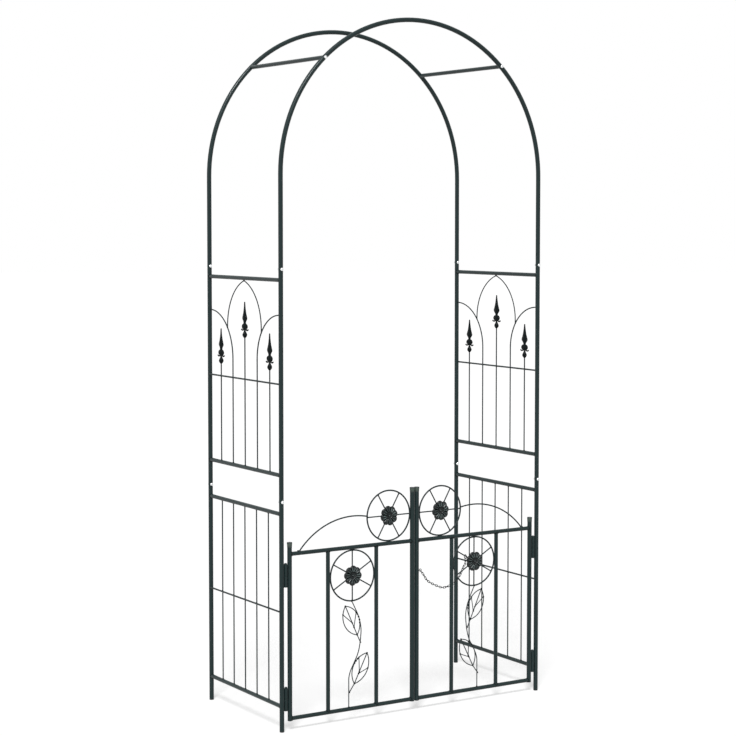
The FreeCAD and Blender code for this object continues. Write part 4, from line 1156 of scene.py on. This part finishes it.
# How far round the side of a tube, in shares of its radius, a bead may creep.
BEAD_CREEP = 0.97
TUBE_RADIUS = 8
RAIL_RADIUS = 7
BAR_RADIUS = 2.25
UP, BACK, RIGHT = Vector((0, 0, 1)), Vector((0, 1, 0)), Vector((1, 0, 0))

# Powder over weld metal, tinted nearly black as painted shade where the parts meet, with the same
# satin skin.
weld_coat_painted_shade = coat_material(
    "powder_coat_on_weld_painted_shade",
    "#0b1011",
    "#131a1b",
    roughness=0.36,
    grain_mm=1.6,
    grain_depth_mm=0.08,
    shine=0.1,
)
ripple = random.Random("weld ripple")


def bead(mesh, crossing, along, tube_radius, out, end_radius, size=BEAD_RADIUS):
    """A bead round the end of one tube, where it lands on the side of another."""
    across = along.cross(out)
    widest = BEAD_CREEP * tube_radius
    points = []
    for k in range(BEAD_STEPS):
        angle = 2 * math.pi * k / BEAD_STEPS
        aside = min(max(end_radius * math.sin(angle), -widest), widest)
        lift = math.sqrt(tube_radius**2 - aside**2)
        point = crossing + along * end_radius * math.cos(angle) + across * aside + out * lift
        points.append(point + out * size * BEAD_PROUD)
    rings = []
    for k, point in enumerate(points):
        heading = (points[(k + 1) % BEAD_STEPS] - points[k - 1]).normalized()
        normal = (out - heading * heading.dot(out)).normalized()
        third = heading.cross(normal)
        uneven = BEAD_RIPPLE * math.cos(math.pi * k) + ripple.uniform(-OFF_TRUE, OFF_TRUE)
        radius = size * (1 + uneven)
        ring = []
        for j in range(BEAD_SIDES):
            angle = 2 * math.pi * j / BEAD_SIDES
            spoke = normal * math.cos(angle) + third * math.sin(angle)
            ring.append(mesh.verts.new((point + spoke * radius) * MM))
        rings.append(ring)
    skin(mesh, zip(rings, rings[1:] + rings[:1]))


def tack(mesh, at, radius=TACK_RADIUS, run=Vector((1, 1, 1))):
    """A lumpy drop of weld metal round a contact, stretched where it runs along the joint."""
    size = [radius * stretch * MM * ripple.uniform(*TACK_UNEVEN) for stretch in run]
    place = Matrix.Translation(Vector(at) * MM) @ Matrix.Diagonal((*size, 1))
    made = bmesh.ops.create_icosphere(mesh, subdivisions=2, radius=1, matrix=place)
    for vert in made["verts"]:
        vert.co += (vert.co - Vector(at) * MM) * ripple.uniform(-OFF_TRUE, OFF_TRUE)


def tab_seams(mesh, corner_x, base):
    """The two straight runs of bead, one on each face, that hold a hinge's tab to its tube."""
    radii = [BEAD_RADIUS * (1 + SEAM_RIPPLE * math.cos(math.pi * k)) for k in range(SEAM_STEPS)]
    radii[0] = radii[-1] = BEAD_RADIUS * SEAM_TAIL
    for face in (-1, 1):
        corner_y = GATE_LINE + face * (TAB_HALF + CORNER_ASIDE)
        foot = Vector((corner_x, corner_y, base + SEAM_SETBACK))
        head = foot + UP * (KNUCKLE_LENGTH - 2 * SEAM_SETBACK)
        points = [foot.lerp(head, k / (SEAM_STEPS - 1)) for k in range(SEAM_STEPS)]
        tapered_tube(mesh, points, radii, BEAD_SIDES)


MID_WIRE_RADIUS = 3
MID_WIRE_END = 249
LANCET_FOOT = 121
LANCET_TACK = 2.9
SPRING_BELOW_RAIL = 117
APEX_BELOW_RAIL = 1

mid_wires, mid_half = middle_mm("panel_mid_wires")
MID_WIRE_HEIGHTS = {
    level: mid_wires.z + sign * (mid_half.z - MID_WIRE_RADIUS)
    for level, sign in (("lower", -1), ("upper", 1))
}

frame_welds = bmesh.new()
for side, sign in SIDES.items():
    post_x = middle_mm(f"front_{side}_lower_post")[0].x
    for level, wire_height in MID_WIRE_HEIGHTS.items():
        low, high = corners_mm(f"{side}_{level}_panel_rails")
        rails = (low.z + RAIL_RADIUS, high.z - RAIL_RADIUS)
        for rail in rails:
            for toward in (-1, 1):
                crossing = Vector((post_x, -toward * GATE_LINE, rail))
                bead(frame_welds, crossing, UP, TUBE_RADIUS, -toward * BACK, RAIL_RADIUS)
        _, bars_half = middle_mm(f"{side}_{level}_panel_bars")
        pitch = BAR_PITCH if level == "upper" else (bars_half.y - BAR_RADIUS) / (BARS // 2)
        shift = BAR_SHIFT if level == "upper" else 0
        for k in range(BARS):
            y = (k - BARS // 2) * pitch + shift
            ends = ((rails[0], UP), (rails[1], -UP)) if level == "lower" else ((rails[0], UP),)
            for rail, out in ends:
                foot = Vector((post_x, y, rail))
                bead(frame_welds, foot, BACK, RAIL_RADIUS, out, BAR_RADIUS, WIRE_BEAD_RADIUS)
            tack(frame_welds, (post_x + sign * BAR_RADIUS, y, wire_height))
    spring = rails[1] - SPRING_BELOW_RAIL
    tack(frame_welds, (post_x, 0, rails[1] - RAIL_RADIUS - APEX_BELOW_RAIL))
    mid_wire_x = mid_wires.x + sign * (mid_half.x - MID_WIRE_RADIUS)
    for toward in (-1, 1):
        landing = Vector((post_x, -toward * GATE_LINE, spring))
        out = -toward * BACK
        bead(frame_welds, landing, UP, TUBE_RADIUS, out, BAR_RADIUS, WIRE_BEAD_RADIUS)
        for wire_height in MID_WIRE_HEIGHTS.values():
            tack(frame_welds, (mid_wire_x, toward * MID_WIRE_END, wire_height))
        reach = abs(GATE_LINE) - TUBE_RADIUS
        turn = reach - abs(toward * BAR_PITCH + BAR_SHIFT)
        rise = math.sqrt(turn**2 - (reach - LANCET_FOOT) ** 2)
        tack(frame_welds, (post_x, toward * LANCET_FOOT, spring - turn + rise), LANCET_TACK)
    for base in HINGE_BASES:
        tab_seams(frame_welds, post_x - sign * (TUBE_RADIUS - CORNER_DEPTH), base)
finish_piece(
    "frame_weld_beads", frame_welds, weld_coat_painted_shade, "arch_frame", crease=60
)

SPOKE_TACK_INSET = 5
CREST_FOOT = 468
CREST_RISE = 4.5
RING_WIRE_RADIUS = 2.75
STEM_TOP = (257, 414.6)
STEM_FOOT = 268.9
LEAF_TACK = 3.3
TACK_RUN = 2.2

# Each wire leaf on the right gate leaf, in mm as (x, z): where its twig meets the stem, and its
# base and its tip from there. Then for each side how far the outline bows, where its vein ends on
# the outline and on the midrib, and where on the outline the tacks to the stem are.
WIRE_LEAVES = (
    (
        (224.1, 269.2),
        (12.9, 26.9),
        (60.3, 130.9),
        ((30.2, 0.773, 0.417, ()), (-31.1, 0.626, 0.271, (0.32, 0.4, 0.48, 0.56))),
    ),
    (
        (268.9, 100.7),
        (-20.4, 27.5),
        (-71.8, 128.2),
        ((-27.8, 0.587, 0.329, ()), (31.7, 0.741, 0.389, (0.55, 0.62, 0.69))),
    ),
)


def leaf_joints(twig, base, tip, sides):
    """Every spot of a wire leaf where wires meet, as (x, z) in mm."""
    foot = Vector(twig)
    base, tip = foot + Vector(base), foot + Vector(tip)
    spots = [foot, base, tip]
    half = (tip - base).length / 2
    ahead = (tip - base).normalized()
    outward = Vector((-ahead.y, ahead.x))
    for bow, up_outline, up_midrib, on_stem in sides:
        radius = (half**2 + bow**2) / (2 * abs(bow))
        spread = math.asin(half / radius)
        for share in (up_outline, *on_stem):
            angle = spread * (2 * share - 1)
            lift = radius * math.cos(angle) - radius + abs(bow)
            rim = (base + tip) / 2 + ahead * radius * math.sin(angle)
            spots.append(rim - outward * math.copysign(lift, bow))
        spots.append(base.lerp(tip, up_midrib))
    return spots


for side, sign in SIDES.items():
    welds = bmesh.new()
    outward = RIGHT * sign
    levels = [middle_mm(f"{side}_gate_{rail}")[0].z for rail in ("bottom_rail", "top_rail")]
    low, high = corners_mm(f"{side}_gate_uprights")
    for level, inward in zip(levels, (UP, -UP)):
        for stile_name, toward in (("hinge_stile", -outward), ("meeting_stile", outward)):
            stile, _ = middle_mm(f"{side}_gate_{stile_name}")
            crossing = Vector((stile.x, stile.y, level))
            bead(welds, crossing, UP, TUBE_RADIUS, toward, RAIL_RADIUS)
        for x in (low.x + RAIL_RADIUS, high.x - RAIL_RADIUS):
            bead(welds, Vector((x, GATE_LINE, level)), RIGHT, RAIL_RADIUS, inward, RAIL_RADIUS)
    for wheel, (x, z) in enumerate(WHEEL_CENTRES):
        for k in range(SPOKES):
            angle = math.radians(360 / SPOKES * (k + (0 if wheel else 0.5)))
            reach = WHEEL_RADIUS - SPOKE_TACK_INSET
            at = (sign * x + reach * math.cos(angle), GATE_LINE, z + reach * math.sin(angle))
            tack(welds, at)
    lower, upper = WHEEL_CENTRES
    for x, z in ((lower[0], lower[1] + WHEEL_RADIUS), (upper[0], upper[1] - WHEEL_RADIUS)):
        tack(welds, (sign * x, GATE_LINE, z), run=Vector((TACK_RUN, 1, 1)))
    for x in (lower[0] - WHEEL_RADIUS, lower[0] + WHEEL_RADIUS):
        tack(welds, (sign * x, GATE_LINE, lower[1]), run=Vector((1, 1, TACK_RUN)))
    meeting = (sign * (upper[0] - WHEEL_RADIUS), GATE_LINE, upper[1])
    tack(welds, meeting, run=Vector((1, 1, TACK_RUN)))
    contacts = [(CREST_FOOT, levels[1] + RAIL_RADIUS), STEM_TOP]
    contacts += [(upper[0] + WHEEL_RADIUS - RING_WIRE_RADIUS, upper[1] + CREST_RISE)]
    contacts += [(STEM_FOOT, levels[0] + RAIL_RADIUS)]
    for x, z in contacts:
        tack(welds, (sign * x, GATE_LINE, z))
    leaf_line = middle_mm(f"{side}_gate_leaf_wires")[0].y
    for leaf in WIRE_LEAVES:
        for x, z in leaf_joints(*leaf):
            tack(welds, (sign * x, leaf_line, z), LEAF_TACK)
    stile, _ = middle_mm(f"{side}_gate_hinge_stile")
    for base in HINGE_BASES:
        above = base + KNUCKLE_LENGTH + HINGE_PLAY
        tab_seams(welds, stile.x + sign * (TUBE_RADIUS - CORNER_DEPTH), above)
    finish_piece(
        f"{side}_gate_weld_beads", welds, weld_coat_painted_shade, f"{side}_gate", crease=60
    )

# Chain: welded steel links from an eye on the meeting stile to a ring that hangs on a spoke of the
# lower wheel, dipped in black lacquer after they are joined.

# Dipped lacquer lies thicker and shinier than powder, and is almost black.
chain_lacquer = coat_material(
    "lacquer_on_chain",
    "#12191a",
    "#1c2425",
    roughness=0.34,
    grain_mm=1.6,
    grain_depth_mm=0.03,
)
for part in ("chain_eye", "chain_links", "chain_end_ring"):
    dress(part, chain_lacquer)
